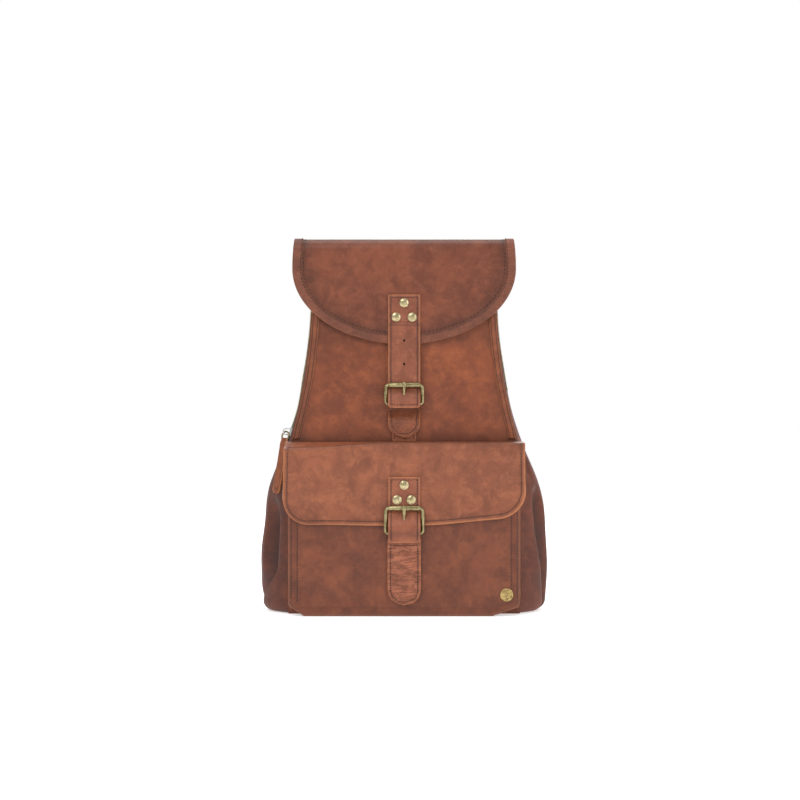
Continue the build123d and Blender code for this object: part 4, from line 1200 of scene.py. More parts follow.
hinge_strip = sheet("flap_hinge_hide", 60, 42, flap_hinge_face, 1.4 * MM, flap_leather_finish,
                    worn=lambda u, v: (0.5 * near(min(v, 1 - v) * 24, 0.8)
                                       + 0.5 * near(min(u, 1 - u) * 176, 0.9)))
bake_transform(hinge_strip)
seam("flap_hinge_stitches", "top_flap", flap_hinge_face, [line_across(0.94, 0.02, 0.96)],
     0.1)
seam("flap_hinge_low_stitches", "bag", flap_hinge_face, [line_across(0.1, 0.02, 0.96)],
     0.1)

# ---- straps: double hides, sewn round their edge, with their corners just rounded. Each
# lies on what is under it and then climbs over its buckle's lower bar
STRAP_WIDE, STRAP_THICK = 35.0, 2.2


def route(points, bend):
    """A line through (y, z) points with its corners rounded, as (length, y, z) steps."""
    spots = [Vector(p) for p in points]
    line = [spots[0]]
    for before, here, after in zip(spots, spots[1:], spots[2:]):
        a, b = (before - here).normalized(), (after - here).normalized()
        trim = min(bend, (before - here).length * 0.45, (after - here).length * 0.45)
        start, end = here + a * trim, here + b * trim
        line += [start.lerp(here, t).lerp(here.lerp(end, t), t) for t in (k / 8 for k in range(9))]
    line.append(spots[-1])
    lengths = [0.0]
    for a, b in zip(line, line[1:]):
        lengths.append(lengths[-1] + (b - a).length)
    return [(length, spot.x, spot.y) for length, spot in zip(lengths, line)]


def on_route(steps, at):
    """(y, z) and the (y, z) direction at a length along a route."""
    at = min(max(at, 0), steps[-1][0])
    i = max(k for k in range(len(steps) - 1) if steps[k][0] <= at)
    (a, y0, z0), (b, y1, z1) = steps[i], steps[i + 1]
    t = (at - a) / (b - a) if b > a else 0
    run = hypot(y1 - y0, z1 - z0)
    return y0 + (y1 - y0) * t, z0 + (z1 - z0) * t, (y1 - y0) / run, (z1 - z0) / run


def strap_face(steps, wide, thick, low_round=3.0, top_round=0.0, ripple=0.15, seed=3):
    """The outer face of a strap: u across, v from its lower end up to its top."""
    whole = steps[-1][0]

    def place(u, v):
        at = whole * (1 - v)
        y, z, along_y, along_z = on_route(steps, at)
        half = wide / 2 + 0.25 * uneven(0, at, seed, 14)
        left = whole - at
        half -= corner_cut(left, low_round)
        half -= corner_cut(at, top_round)
        a = 2 * u - 1
        soft = 0.55 * abs(a) ** 10
        rise = thick / 2 - soft + ripple * uneven(a * wide / 2, at, seed, 7)
        out_y, out_z = along_z * rise, -along_y * rise
        if out_y > 0:
            out_y, out_z = -out_y, -out_z
        return Vector((a * half, y + out_y, z + out_z)) * MM
    return place, whole


strap_leather = leather("strap_hide", (0.19, 0.052, 0.024), (0.3, 0.088, 0.041), (0.43, 0.143, 0.067),
                        gloss=0.44, shift=5.1, wrinkle=0.2)
main_bar_y, main_roller_z = middle_of("main_roller")[1:]
MAIN_HEEL_Z = main_roller_z - 20.5
STRAP_LIFT = 5.55
upper_y = flap_front_y - STRAP_THICK / 2
lower_y = upper_y - 1.1
main_route = route([(upper_y, 347), (upper_y, 314.5), (lower_y, 303), (lower_y, main_roller_z - 2),
                    (main_bar_y - STRAP_LIFT, MAIN_HEEL_Z + 5), (main_bar_y - STRAP_LIFT - 0.8, 224)], 5)


def strap_worn(wide, whole):
    def rule(u, v):
        edge = min(min(u, 1 - u) * wide, v * whole, (1 - v) * whole)
        return 0.95 * near(edge, 0.9)
    return rule


def strap_shade(wide, whole, *bands):
    def rule(u, v):
        side = 0.35 * near(min(u, 1 - u) * wide - 3, 1.2)
        return side + sum(deep * near(v * whole - at, reach) for at, reach, deep in bands)
    return rule


def punched(piece, spots, radius=1.3):
    """Round holes through a strap at each (x, y, z), in millimetres."""
    for x, y, z in spots:
        bpy.ops.object.select_all(action="DESELECT")
        bpy.ops.mesh.primitive_cylinder_add(vertices=20, radius=radius * MM, depth=9 * MM,
                                            location=(x * MM, y * MM, z * MM), rotation=(pi / 2, 0, 0))
        punch = bpy.context.object
        hole = piece.modifiers.new("hole", "BOOLEAN")
        hole.object = punch
        hole.operation = "DIFFERENCE"
        hole.solver = "EXACT"
        carry_out(piece, hole)
        bpy.data.objects.remove(punch)


place, whole = strap_face(main_route, STRAP_WIDE, STRAP_THICK)
main_strap = sheet("flap_strap_hide", 40, 170, place, STRAP_THICK * MM, strap_leather,
                   worn=strap_worn(STRAP_WIDE, whole),
                   shade=strap_shade(STRAP_WIDE, whole, (whole - 33, 1.2, 0.5), (20, 5, 0.35)))
HOLES = (296.9, 271.5)
punched(main_strap, [(0, lower_y, z) for z in HOLES] + [(0, main_bar_y + 2, main_roller_z - 4.2)])
finish(main_strap, "top_flap", "flap_strap", "flap_strap")


def strap_rows(wide, whole, inset, ends=(True, True), marks=()):
    """Stitch lines inset from a strap's sides and ends, with cross rows at marks."""
    side, end = inset / wide, inset / whole
    rows = [line_up(x, end, 1 - 2 * end, 30) for x in (side, 1 - side)]
    cross = [end] * ends[0] + [1 - end] * ends[1] + [m / whole for m in marks]
    return rows + [line_across(v, side, 1 - 2 * side, 8) for v in cross]


seam("flap_strap_stitches", "top_flap", place, strap_rows(STRAP_WIDE, whole, 3.2, marks=(whole - 30,)),
     0.12, 2.9)

# ---- domed rivets: pressed brass caps over a thin rolled rim, in threes on each strap
RIVET_RADIUS = 5.0
bpy.ops.object.select_all(action="DESELECT")
bpy.ops.mesh.primitive_uv_sphere_add(segments=32, ring_count=24, radius=1)
cap = bpy.context.object
bpy.ops.object.mode_set(mode="EDIT")
bpy.ops.mesh.select_all(action="SELECT")
bpy.ops.mesh.bisect(plane_co=(0, 0, 0), plane_no=(0, 0, 1), clear_inner=True, use_fill=True)
bpy.ops.object.mode_set(mode="OBJECT")
for vertex in cap.data.vertices:
    reach = hypot(vertex.co.x, vertex.co.y)
    height = 0.5 + 1.9 * sqrt(max(1 - (reach * 0.93) ** 2, 0)) if vertex.co.z > 1e-4 else 0.0
    height -= 0.35 * near(reach - 0.86, 0.05) if vertex.co.z > 1e-4 else 0.0
    vertex.co = (vertex.co.x * RIVET_RADIUS, vertex.co.y * RIVET_RADIUS, height)
cap_spots = [v.co.copy() for v in cap.data.vertices]
cap_faces = [tuple(f.vertices) for f in cap.data.polygons]
bpy.data.objects.remove(cap)
TO_FRONT = Vector((0, -1, 0))


def rivets(name, body, node, y, spots, size=1.0, out=TO_FRONT):
    frames = [(Vector((x, y, z)) * MM, Vector((1, 0, 0)), out) for x, z in spots]
    model = [p * size for p in cap_spots]
    piece = copies(name, model, cap_faces, frames, bright_brass)
    finish(piece, body, node, node)


FLAP_RIVETS = ((0, 338), (-8.7, 322.5), (8.7, 322.5))
rivets("flap_rivet_caps", "top_flap", "flap_rivets", upper_y - STRAP_THICK / 2, FLAP_RIVETS)

# ---- roller buckles: a bent wire frame, a tube that rolls on its top bar, and a prong
# forged to a taper that lies over the roller with its tip through the strap


def turned(name, profile, centre, material):
    """A shape turned round an axis along X: profile is (along, radius) in millimetres."""
    def place(u, v):
        along_x, radius = between(profile, v)
        angle = 2 * pi * u
        return Vector((centre[0] + along_x, centre[1] + radius * cos(angle),
                       centre[2] + radius * sin(angle))) * MM
    return weld(sheet(name, 28, len(profile) - 1, place, 0, material), 0.000002)


ROLLER_HALF, ROLLER_OUT, BAR_OUT = 16.25, 2.75, 2.0
roller_profile = [(-ROLLER_HALF, BAR_OUT), (-ROLLER_HALF, 2.4), (-ROLLER_HALF + 0.15, 2.65),
                  (-ROLLER_HALF + 0.5, ROLLER_OUT), (0, ROLLER_OUT), (ROLLER_HALF - 0.5, ROLLER_OUT),
                  (ROLLER_HALF - 0.15, 2.65), (ROLLER_HALF, 2.4), (ROLLER_HALF, BAR_OUT),
                  (0, BAR_OUT), (-ROLLER_HALF, BAR_OUT)]


def buckle_parts(name, body, bar_y, roller_z, heel_z, hole_z):
    roller = turned(f"{name}_roller_tube", roller_profile, (0, bar_y, roller_z), antique_brass)
    finish(roller, f"{name}_roller", f"{name}_roller", f"{name}_roller")
    lift = ROLLER_OUT + 1.85
    line = route([(bar_y, heel_z + 2.5), (bar_y - 1.5, heel_z + 5.5), (bar_y - 3.0, hole_z - 1),
                  (bar_y - lift, roller_z - 1.2), (bar_y - lift + 0.3, roller_z + 3.4)], 4)
    whole = line[-1][0]

    def place(u, v):
        at = whole * v
        y, z, along_y, along_z = on_route(line, at)
        angle = 2 * pi * u
        tip = ease(whole - at, -0.6, 1.6) ** 0.5
        wide = (1.25 + 1.05 * ease(z, hole_z - 2, roller_z)) * max(tip, 0.02)
        deep = (1.1 + 0.3 * ease(z, hole_z, roller_z)) * max(tip, 0.02)
        x = wide * cos(angle) * (1 - 0.12 * cos(2 * angle) ** 2)
        rise = deep * sin(angle)
        return Vector((x, y + along_z * rise, z - along_y * rise)) * MM
    prong = weld(sheet(f"{name}_prong_taper", 20, 40, place, 0, antique_brass), 0.00001)
    hub = turned(f"{name}_prong_hub", [(-2.1, 2.15), (-2.1, 3.2), (-1.6, 3.55), (1.6, 3.55), (2.1, 3.2),
                                      (2.1, 2.15), (0, 2.15), (-2.1, 2.15)],
                 (0, bar_y, heel_z), antique_brass)
    finish(joined(prong, hub), body, f"{name}_prong", f"{name}_prong")


buckle_parts("main", "bag", main_bar_y, main_roller_z, MAIN_HEEL_Z, main_roller_z - 4)

# ---- the main buckle's tab: a strap end sewn to the front panel, folded up round the
# buckle's lower bar, over a narrower strip that runs down behind the pocket's flap
tab_leather = leather("tab_hide", (0.17, 0.045, 0.017), (0.28, 0.079, 0.032), (0.4, 0.126, 0.049),
                      gloss=0.42, shift=6.2, wrinkle=0.45)
TAB_LOW = 191.7
TAB_ROUND = 16.5
TAB_STRIP_WIDE = 26
strip_y = FRONT_Y - 1.6
under_strip = strap_face(route([(strip_y + 0.4, 220), (strip_y + 0.4, 187.6)], 1),
                         TAB_STRIP_WIDE, 1.4, 0.5, 0, 0.1, 8)
strip_piece = sheet("tab_strip_hide", 24, 40, under_strip[0], 1.2 * MM, tab_leather,
                    worn=strap_worn(TAB_STRIP_WIDE, under_strip[1]))
finish(strip_piece, "bag", "tab_strip", "tab_strip")
seam("tab_strip_stitches", "bag", under_strip[0],
     strap_rows(TAB_STRIP_WIDE, under_strip[1], 2.6, ends=(False, False)), 0.1, 2.8)


def tab_route(bar_y, heel_z, root_y, low_z):
    """Up the face of the panel, round the front of the bar and back down behind it."""
    reach = 3.3
    rise = [(root_y, low_z), (root_y, heel_z - 16), (bar_y + reach * cos(-1.9) + 0.4, heel_z - reach - 1.4)]
    turn = [(bar_y + reach * cos(a), heel_z + reach * sin(a)) for a in (-2.6, -pi, 2.5, 1.9, pi / 2, 0.9)]
    return route(rise + turn, 5)


def folded_tab(name, body, slot, bar_y, heel_z, root_y, low_z, wide, finish_leather, ripple, seed):
    steps = tab_route(bar_y, heel_z, root_y, low_z)[::-1]
    top = steps[0][0]
    steps = [(top - length, y, z) for length, y, z in steps]
    place, whole = strap_face(steps, wide, STRAP_THICK, TAB_ROUND, 0, ripple, seed)
    slot_low = heel_z - 3.0

    def slotted(u, v):
        spot = place(u, v)
        return abs(spot.x) < 2.7 * MM and spot.z > slot_low * MM

    def narrow(u, v):
        spot = place(u, v)
        high = ease(spot.z / MM, heel_z - 6.5, heel_z - 5)
        spot.x *= 1 - high * 0.13
        return spot
    # painted shade along the stitch lines, and a painted shadow below the heel bar where the strap's end
    # stands over the tab
    piece = sheet(name, 44, 150, narrow, 1.7 * MM, finish_leather, worn=strap_worn(wide, whole),
                  shade=strap_shade(wide, whole, (heel_z - low_z - 2, 7, 0.6)), cut=slotted)
    finish(piece, body, slot, slot)
    return narrow, whole


place, whole = folded_tab("buckle_tab_hide", "bag", "buckle_tab", main_bar_y, MAIN_HEEL_Z,
                          FRONT_Y - 1.6 - 1.1, TAB_LOW, STRAP_WIDE, tab_leather, 0.4, 12)


def rounded_rows(wide, whole, inset, corner, top):
    """A stitch line up both sides of a strap with a round lower end, in (u, v)."""
    line = [(inset / wide, top / whole - (top - corner) / whole * k / 20) for k in range(21)]
    reach = corner - inset
    middle = wide / 2 - corner
    left = [(wide / 2 - middle - reach * cos(a), corner - reach * sin(a))
            for a in (pi / 2 * k / 10 for k in range(1, 11))]
    right = [(wide - x, z) for x, z in reversed(left)]
    line += [(x / wide, z / whole) for x, z in left + right]
    return [line + [(1 - inset / wide, corner / whole + (top - corner) / whole * k / 20) for k in range(21)]]


def straight_u(place, wide, corner, whole):
    """Turns (x / wide, z / whole) of a straight sided strap into its own (u, v)."""
    def on(u, v):
        half = wide / 2 - corner_cut(v * whole, corner, 0.01)
        return place(0.5 + (u - 0.5) * wide / (2 * max(half, 0.5)), v)
    return on


seam("buckle_tab_stitches", "bag", straight_u(place, STRAP_WIDE, TAB_ROUND, whole),
     rounded_rows(STRAP_WIDE, whole, 4.2, TAB_ROUND, 27), 0.15, 2.8)

# ---- front pocket: a flat front hide sewn over the turned edges of its gusset, with its
# bottom corners pulled up, and a cotton lining
POCKET_HALF, POCKET_TOP = 125.5, 182.0
pocket_leather = leather("pocket_hide", (0.113, 0.028, 0.012), (0.194, 0.05, 0.019), (0.297, 0.083, 0.03),
                         shift=7.4)
POCKET_LEFT_CUT, POCKET_RIGHT_CUT = (17, 11), (30, 10)


def pocket_low(x):
    """The height of the pocket's bottom edge, which rises at both corners."""
    cut, rise = POCKET_LEFT_CUT if x < 0 else POCKET_RIGHT_CUT
    edge = POCKET_HALF - abs(x)
    slope = max(0.0, 1 - edge / cut) * rise
    return slope + corner_cut(edge, 4.5) + 0.4 * near(edge - cut, 5) * (edge < cut)


def pocket_face(u, v):
    x = (2 * u - 1) * POCKET_HALF
    low = pocket_low(x)
    z = low + (POCKET_TOP - low) * v
    edge = min(POCKET_HALF - abs(x), z - low)
    turn = 2.6 * (1 - ease(edge, 0, 4.2)) ** 2
    belly = 1.4 * ease(edge, 0, 60) * ease(abs(x), 20, 50) * ease(z, 180, 140)
    soft = 0.8 * uneven(x, z, 21, 50) * ease(abs(x), 20, 45) * ease(edge, 2, 20)
    groove = 0.35 * near(edge - 9, 1.0)
    return Vector((x, POCKET_Y + turn - belly * 0.6 + soft + groove, z)) * MM


def pocket_edge(u, v):
    x = (2 * u - 1) * POCKET_HALF
    return min(POCKET_HALF - abs(x), v * POCKET_TOP)


# painted shade beside the pocket's stitch groove and turned edge, and a painted shadow line at 97 mm under
# the pocket flap's edge
pocket = sheet("pocket_front_hide", 130, 100, pocket_face, HIDE * MM, pocket_leather,
               worn=lambda u, v: 0.5 * near(pocket_edge(u, v), 1.6),
               shade=lambda u, v: (0.25 * near(pocket_edge(u, v) - 9, 2)
                                   + 0.3 * near(pocket_edge(u, v) - 3, 3)
                                   + 0.15 * near(v * POCKET_TOP - 97, 8)))
finish(pocket, "bag", "pocket_front", "pocket_front")
POCKET_SEAMS = (4.0, 10.5)
pocket_rows = []
for edge_in in POCKET_SEAMS:
    u_in = edge_in / (2 * POCKET_HALF)
    pocket_rows += [line_up(x, 0.06, 0.92) for x in (u_in, 1 - u_in)]
seam("pocket_front_stitches", "bag", pocket_face, pocket_rows, 0.1, 3.1)
pocket_path = ([(-POCKET_HALF, POCKET_TOP - (POCKET_TOP - 18) * k / 30) for k in range(30)]
               + [(-POCKET_HALF + 252 * (k / 100) / 1.004, pocket_low(-POCKET_HALF + 251 * k / 100))
                  for k in range(101)]
               + [(POCKET_HALF, 18 + (POCKET_TOP - 18) * k / 30) for k in range(1, 31)])


def pocket_gusset_face(u, v):
    x, z = between(pocket_path, v)
    y = POCKET_Y + 2.4 + (FRONT_Y - POCKET_Y - 2.4) * u
    pinch = 1.4 * sin(pi * u) * (1 + 0.4 * uneven(x, y, z, 30))
    inward = -1 if x > 0 else 1
    edge = ease(abs(x), POCKET_HALF - 30, POCKET_HALF)
    return Vector((x + inward * pinch * edge, y, z + pinch * 0.5 * (1 - edge))) * MM


pocket_side = sheet("pocket_gusset_hide", 14, 160, pocket_gusset_face, HIDE * MM, gusset_leather[-1],
                    shade=lambda u, v: 0.4 * near(u, 0.15) + 0.3 * near(1 - u, 0.12))
finish(pocket_side, "bag", "pocket_gusset", "pocket_gusset")


def pocket_cloth(y, turn):
    def place(u, v):
        x = turn * (2 * u - 1) * (POCKET_HALF - 3.4)
        low = pocket_low(x) + 3.0
        z = low + (POCKET_TOP - 5.0 - low) * v
        return Vector((x, y + 0.3 * uneven(x, z, 31, 30), z)) * MM
    return place


pocket_inside = [sheet(name, 40, 40, place, 0.4 * MM, lining_cotton)
                 for name, place in (("pocket_cloth_near", pocket_cloth(POCKET_Y + 3.0, -1)),
                                     ("pocket_cloth_far", pocket_cloth(FRONT_Y - 0.9, 1)))]
finish(joined(*pocket_inside), "bag", "pocket_lining", "pocket_lining")

# ---- the badge: a small plain brass disc with a raised rim and a turned centre
badge_x, _, badge_z = middle_of("badge")
BADGE = ((0, 0.75), (1.2, 0.9), (2.0, 0.75), (5.2, 0.75), (5.6, 1.2), (6.3, 1.55), (7.0, 1.3), (7.3, 0.6),
         (7.3, 0.0))


def badge_face(u, v):
    radius, height = between(BADGE, v)
    angle = 2 * pi * u
    return Vector((badge_x + radius * cos(angle), POCKET_Y - height + 0.6,
                   badge_z + radius * sin(angle))) * MM


badge_brass = metal("badge_brass", (0.26, 0.18, 0.07), (0.5, 0.37, 0.15), (0.7, 0.56, 0.28), 0.36, 0.4)
badge = weld(sheet("badge_disc", 40, 24, badge_face, 0, badge_brass), 0.00001)
finish(badge, "bag", "badge", "badge")

# ---- the pocket's flap: one thick hide, sewn along the bag above the pocket, which folds
# over the pocket's mouth and hangs in front, with a raw edge rubbed to tan
PFLAP_LEATHER = 2.0
crease_y, crease_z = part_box("pocket_flap")[0].y / MM, 185.6 + 0.9
seam_y = FRONT_Y - 2.4
pocket_flap_leather = leather("pocket_flap_hide", (0.17, 0.048, 0.021), (0.29, 0.086, 0.037),
                              (0.42, 0.138, 0.061), shift=8.8)


def pflap_low(x):
    """The height of the flap's lower edge, which hangs lower on the left."""
    base = 97.6 + 1.0 * ease(x, -20, -90) + 7.4 * ease(x, 12, 118)
    radius, wide = (26, 129.3) if x < 0 else (31, 130.5)
    return base + corner_cut(wide - abs(x), radius)


def pflap_droop(x):
    return 5.5 * ease(x, -12, -128)


PFLAP_OVER = 0.2
PFLAP_REACH = 129.9
PFLAP_CURL = 3.2
PFLAP_FOOT, PFLAP_SPAN, PFLAP_RISE = 97, 260, 90


def pflap_face(u, v):
    x = (2 * u - 1) * PFLAP_REACH
    high = crease_z - pflap_droop(x)
    if v > 1 - PFLAP_OVER:
        t = (v - 1 + PFLAP_OVER) / PFLAP_OVER
        radius = PFLAP_CURL
        if t < 0.35:
            angle = pi / 2 * t / 0.35
            return Vector((x, crease_y + radius * (1 - cos(angle)), high - radius * (1 - sin(angle)))) * MM
        t = (t - 0.35) / 0.65
        y = crease_y + radius + (seam_y - crease_y - radius) * t
        z = high + (187.3 - high) * ease(t, 0.1, 0.95) + 0.35 * sin(pi * t)
        return Vector((x * (1 - 0.01 * t), y, z)) * MM
    low = pflap_low(x)
    top = high - PFLAP_CURL
    t = v / (1 - PFLAP_OVER)
    z = low + (top - low) * t
    calm = ease(abs(x), 17, 34)
    soft = (0.9 * uneven(x, z, 41, 45) - 0.6) * calm * ease(z, 184, 170)
    lift = 1.2 * near(z - low, 10) * calm
    wide = x * (1 + 0.004 * near(z - 125, 30))
    return Vector((wide, crease_y - max(soft * -0.5, -0.3) * calm - lift * 0.6, z)) * MM


def pflap_edge(u, v):
    x = (2 * u - 1) * PFLAP_REACH
    low = pflap_low(x)
    z = low + (182 - low) * v / (1 - PFLAP_OVER)
    low_flat = 98 if x < 0 else 98 + 7.0 * ease(x, 12, 118)
    radius = 26 if x < 0 else 31
    side = PFLAP_REACH - abs(x)
    if side < radius and z - low_flat < radius:
        return max(radius - hypot(radius - side, radius - (z - low_flat)), 0)
    return min(side, z - low_flat)


pflap = sheet("pocket_flap_hide", 190, 120, pflap_face, PFLAP_LEATHER * MM, pocket_flap_leather,
              worn=lambda u, v: 0.95 * near(pflap_edge(u, v), 1.5),
              shade=lambda u, v: 0.3 * near(pflap_edge(u, v) - 4.5, 1.6) + 0.3 * near(v - 0.83, 0.03))
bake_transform(pflap)
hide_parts("pocket_flap_top", "pocket_flap")


def pflap_flat(u, v):
    """The hanging face of the flap, by (x, z) as shares of PFLAP_SPAN and PFLAP_RISE."""
    x, z = (u - 0.5) * PFLAP_SPAN, PFLAP_FOOT + v * PFLAP_RISE
    low = pflap_low(x)
    top = crease_z - pflap_droop(x) - PFLAP_CURL
    t = (z - low) / (top - low) * (1 - PFLAP_OVER)
    return pflap_face(x / (2 * PFLAP_REACH) + 0.5, min(max(t, 0), 1 - PFLAP_OVER))


pflap_line = []
for side, low, radius in ((-1, 98.2, 26), (1, 105.0, 31)):
    half = []
    inset = 4.4
    for k in range(13):
        half.append((side * (PFLAP_REACH - inset), 176 - (176 - low - radius) * k / 12))
    for k in range(1, 11):
        angle = pi / 2 * k / 10
        half.append((side * (PFLAP_REACH - radius + (radius - inset) * cos(angle)),
                     low + radius - (radius - inset) * sin(angle)))
    for k in range(1, 12):
        x = side * (PFLAP_REACH - radius) * (1 - k / 12)
        half.append((x, pflap_low(x) + inset))
    pflap_line.append([(x / PFLAP_SPAN + 0.5, (z - PFLAP_FOOT) / PFLAP_RISE) for x, z in half])
seam("pocket_flap_stitches", "pocket_flap", pflap_flat, pflap_line, 0.12, 3.0)


def pflap_top_line(u, v):
    return pflap_face(u, 1 - PFLAP_OVER * (1 - v))


seam("pocket_flap_top_stitches", "pocket_flap_top", pflap_top_line,
     [line_across(0.86, 0.03, 0.94)], 0.12, 3.2)

# ---- the pocket's strap, buckle and tongue: the strap ends over the buckle's lower bar,
# and the creased tongue under it hides the popper
pocket_bar_y, pocket_roller_z = middle_of("pocket_roller")[1:]
POCKET_HEEL_Z = pocket_roller_z - 26.8
pocket_strap_y = crease_y - STRAP_THICK / 2
lift_y = pocket_bar_y - STRAP_LIFT
pocket_strap_route = route([(pocket_strap_y, 150), (pocket_strap_y, pocket_roller_z - 3),
                            (lift_y, POCKET_HEEL_Z + 9), (lift_y, 80)], 5)
place, whole = strap_face(pocket_strap_route, STRAP_WIDE - 0.6, STRAP_THICK, seed=16)
pocket_strap = sheet("pocket_strap_hide", 40, 120, place, STRAP_THICK * MM, strap_leather,
                     worn=strap_worn(STRAP_WIDE, whole),
                     shade=strap_shade(STRAP_WIDE, whole, (9, 5, 0.45)))
punched(pocket_strap, [(0, pocket_strap_y - 1.5, pocket_roller_z - 7.5)])
finish(pocket_strap, "pocket_flap", "pocket_strap", "pocket_strap")
seam("pocket_strap_stitches", "pocket_flap", place,
     strap_rows(STRAP_WIDE, whole, 3.2, ends=(False, True)), 0.12, 2.9)
POCKET_RIVETS = ((0, 141.3), (-7.6, 125.5), (7.6, 125.5))
rivets("pocket_rivet_caps", "pocket_flap", "pocket_rivets", pocket_strap_y - STRAP_THICK / 2,
       POCKET_RIVETS)
buckle_parts("pocket", "pocket_flap", pocket_bar_y, pocket_roller_z, POCKET_HEEL_Z, pocket_roller_z - 8)

TONGUE_WIDE = 36.0
tongue_leather = leather("tongue_hide", (0.244, 0.071, 0.033), (0.39, 0.124, 0.061), (0.549, 0.194, 0.098),
                         gloss=0.46, shift=9.6, wrinkle=0.9)
place, whole = folded_tab("pocket_tongue_hide", "pocket_tongue", "pocket_tongue", pocket_bar_y,
                          POCKET_HEEL_Z, POCKET_Y - 3.2, 12.5, TONGUE_WIDE, tongue_leather, 0.45, 23)
seam("pocket_tongue_stitches", "pocket_tongue", straight_u(place, TONGUE_WIDE, TAB_ROUND, whole),
     rounded_rows(TONGUE_WIDE, whole, 3.4, TAB_ROUND, 62) + [line_across(64.5 / whole, 0.08, 0.84, 8)],
     0.2, 3.0)

# ---- the yoke: a hide sewn and riveted high on the back, which holds the handle's
# brackets and the roots of both shoulder straps
yoke_low_corner, yoke_high_corner = (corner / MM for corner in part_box("strap_yoke"))
YOKE_LOW_HALF, YOKE_HIGH_HALF, YOKE_CORNER = 56.0, 50.0, 8.0
TO_BACK = Vector((0, 1, 0))
yoke_leather = leather("yoke_hide", (0.137, 0.034, 0.013), (0.245, 0.064, 0.023), (0.363, 0.104, 0.039),
                       shift=10.3)


def yoke_face(u, v):
    height = yoke_high_corner.z - yoke_low_corner.z
    z = v * height
    half = YOKE_LOW_HALF + (YOKE_HIGH_HALF - YOKE_LOW_HALF) * v
    end = min(z, height - z)
    half -= corner_cut(end, YOKE_CORNER)
    x = (1 - 2 * u) * half
    edge = min(half - abs(x), end)
    rise = yoke_high_corner.y - 0.7 * (1 - ease(edge, 0, 1.6)) - 0.2 * near(edge - 4, 0.8)
    return Vector((x, rise + 0.2 * uneven(x, z, 50, 14) - 0.2, yoke_low_corner.z + z)) * MM


yoke = sheet("strap_yoke_hide", 60, 44, yoke_face, HIDE * MM, yoke_leather,
             worn=lambda u, v: 0.8 * near(min(min(u, 1 - u) * 110, min(v, 1 - v) * 76), 1.2))
finish(yoke, "bag", "strap_yoke", "strap_yoke")
seam("strap_yoke_stitches", "bag", yoke_face,
     [line_up(x, 0.1, 0.8, 20) for x in (0.05, 0.95)]
     + [line_across(z, 0.12, 0.76, 20) for z in (0.055, 0.945, 0.5)], 0.1, 3.1)
YOKE_RIVETS, YOKE_RIVET_SIZE = [(x, 323) for x in (-30, -12, 12, 30)], 0.66
rivets("yoke_rivet_caps", "bag", "yoke_rivets", yoke_high_corner.y, YOKE_RIVETS, YOKE_RIVET_SIZE, TO_BACK)

# ---- grab handle: a hide rolled round a cord core and sewn along its outside, whose two
# ends are wrapped and sewn round the pins of their brackets
HANDLE_PIN = joint_at("grab_handle_swing") / MM
HANDLE_REACH, HANDLE_DROP, HANDLE_THICK = 44.0, 34.0, 4.5
handle_leather = leather("handle_hide", (0.127, 0.032, 0.012), (0.235, 0.062, 0.022), (0.353, 0.1, 0.036),
                         gloss=0.4, shift=11.1, wrinkle=0.35)
handle_line = route([(-HANDLE_REACH, HANDLE_PIN.z), (-HANDLE_REACH + 5, HANDLE_PIN.z - HANDLE_DROP),
                     (HANDLE_REACH - 5, HANDLE_PIN.z - HANDLE_DROP), (HANDLE_REACH, HANDLE_PIN.z)], 17)


def handle_face(u, v):
    whole = handle_line[-1][0]
    at = whole * v
    x, z, along_x, along_z = on_route(handle_line, at)
    end = ease(min(at, whole - at), 5, 20)
    angle = 2 * pi * u
    thick = HANDLE_THICK * (0.86 + 0.1 * sin(pi * v)) - 0.3 * near(angle - 3 * pi / 2, 0.35) * end
    flat = 1 - 0.28 * (1 - end)
    aside = thick * cos(angle) * (1 + 0.1 * (1 - end))
    out = thick * sin(angle) * flat + 0.12 * uneven(x, z, angle, 5)
    return Vector((x - along_z * aside, HANDLE_PIN.y + out, z + along_x * aside)) * MM


handle_tube = weld(sheet("grab_handle_hide", 28, 130, handle_face, 0, handle_leather,
                         worn=lambda u, v: 0.3 * near(v - 0.5, 0.2),
                         shade=lambda u, v: 0.4 * near(u - 0.75, 0.04)), 0.00002)
EYE = ((-4.5, 2.3), (-4.5, 4.6), (-4.1, 5.0), (4.1, 5.0), (4.5, 4.6), (4.5, 2.3), (0, 2.3), (-4.5, 2.3))
handle_eyes = [turned("handle_eye", EYE, (side * HANDLE_REACH, HANDLE_PIN.y, HANDLE_PIN.z),
                      handle_leather) for side in (-1, 1)]
handle = joined(handle_tube, *handle_eyes)
finish(handle, "grab_handle", "grab_handle", "grab_handle")
seam("grab_handle_stitches", "grab_handle", handle_face,
     [line_up(0.25, 0.14, 0.72, 60)], 0.1, 3.0)

# ---- shoulder straps: each has a padded upper part rooted in the yoke, a brass adjuster
# on a folded chape, and a lower strap that slides through it and ends in a ring
PAD_HEAD = Vector((33, 0, 336))
PAD_FOOT = Vector((116, 0, 44))
LANE_TILT = atan2(PAD_FOOT.x - PAD_HEAD.x, PAD_HEAD.z - PAD_FOOT.z)
LANE_LONG = hypot(PAD_FOOT.x - PAD_HEAD.x, PAD_HEAD.z - PAD_FOOT.z)
PAD_LONG, PAD_WIDE, PAD_NEAR, PAD_FAR = 196.0, 50.0, 70.2, 81.2
PAD_CORNER = 12.0
NECK_WIDE, CHAPE_WIDE, LOWER_WIDE = 30, 24.5, 25
LOWER_HOLES = (222, 231, 240, 249)
ADJUSTER_AT, ADJUSTER_PITCH, RING_DROP, LOWER_STRAP_Y = 208.0, 22.0, 15.0, 68.6
SWELL_LIMIT = 0.0022
AIR_FORCE, AIR_STEPS = 4, 20
PAD_GRID = 0.0042
pad_leather = leather("shoulder_pad_hide", (0.118, 0.03, 0.011), (0.206, 0.054, 0.019), (0.314, 0.088, 0.031),
                      gloss=0.45, shift=12.2)


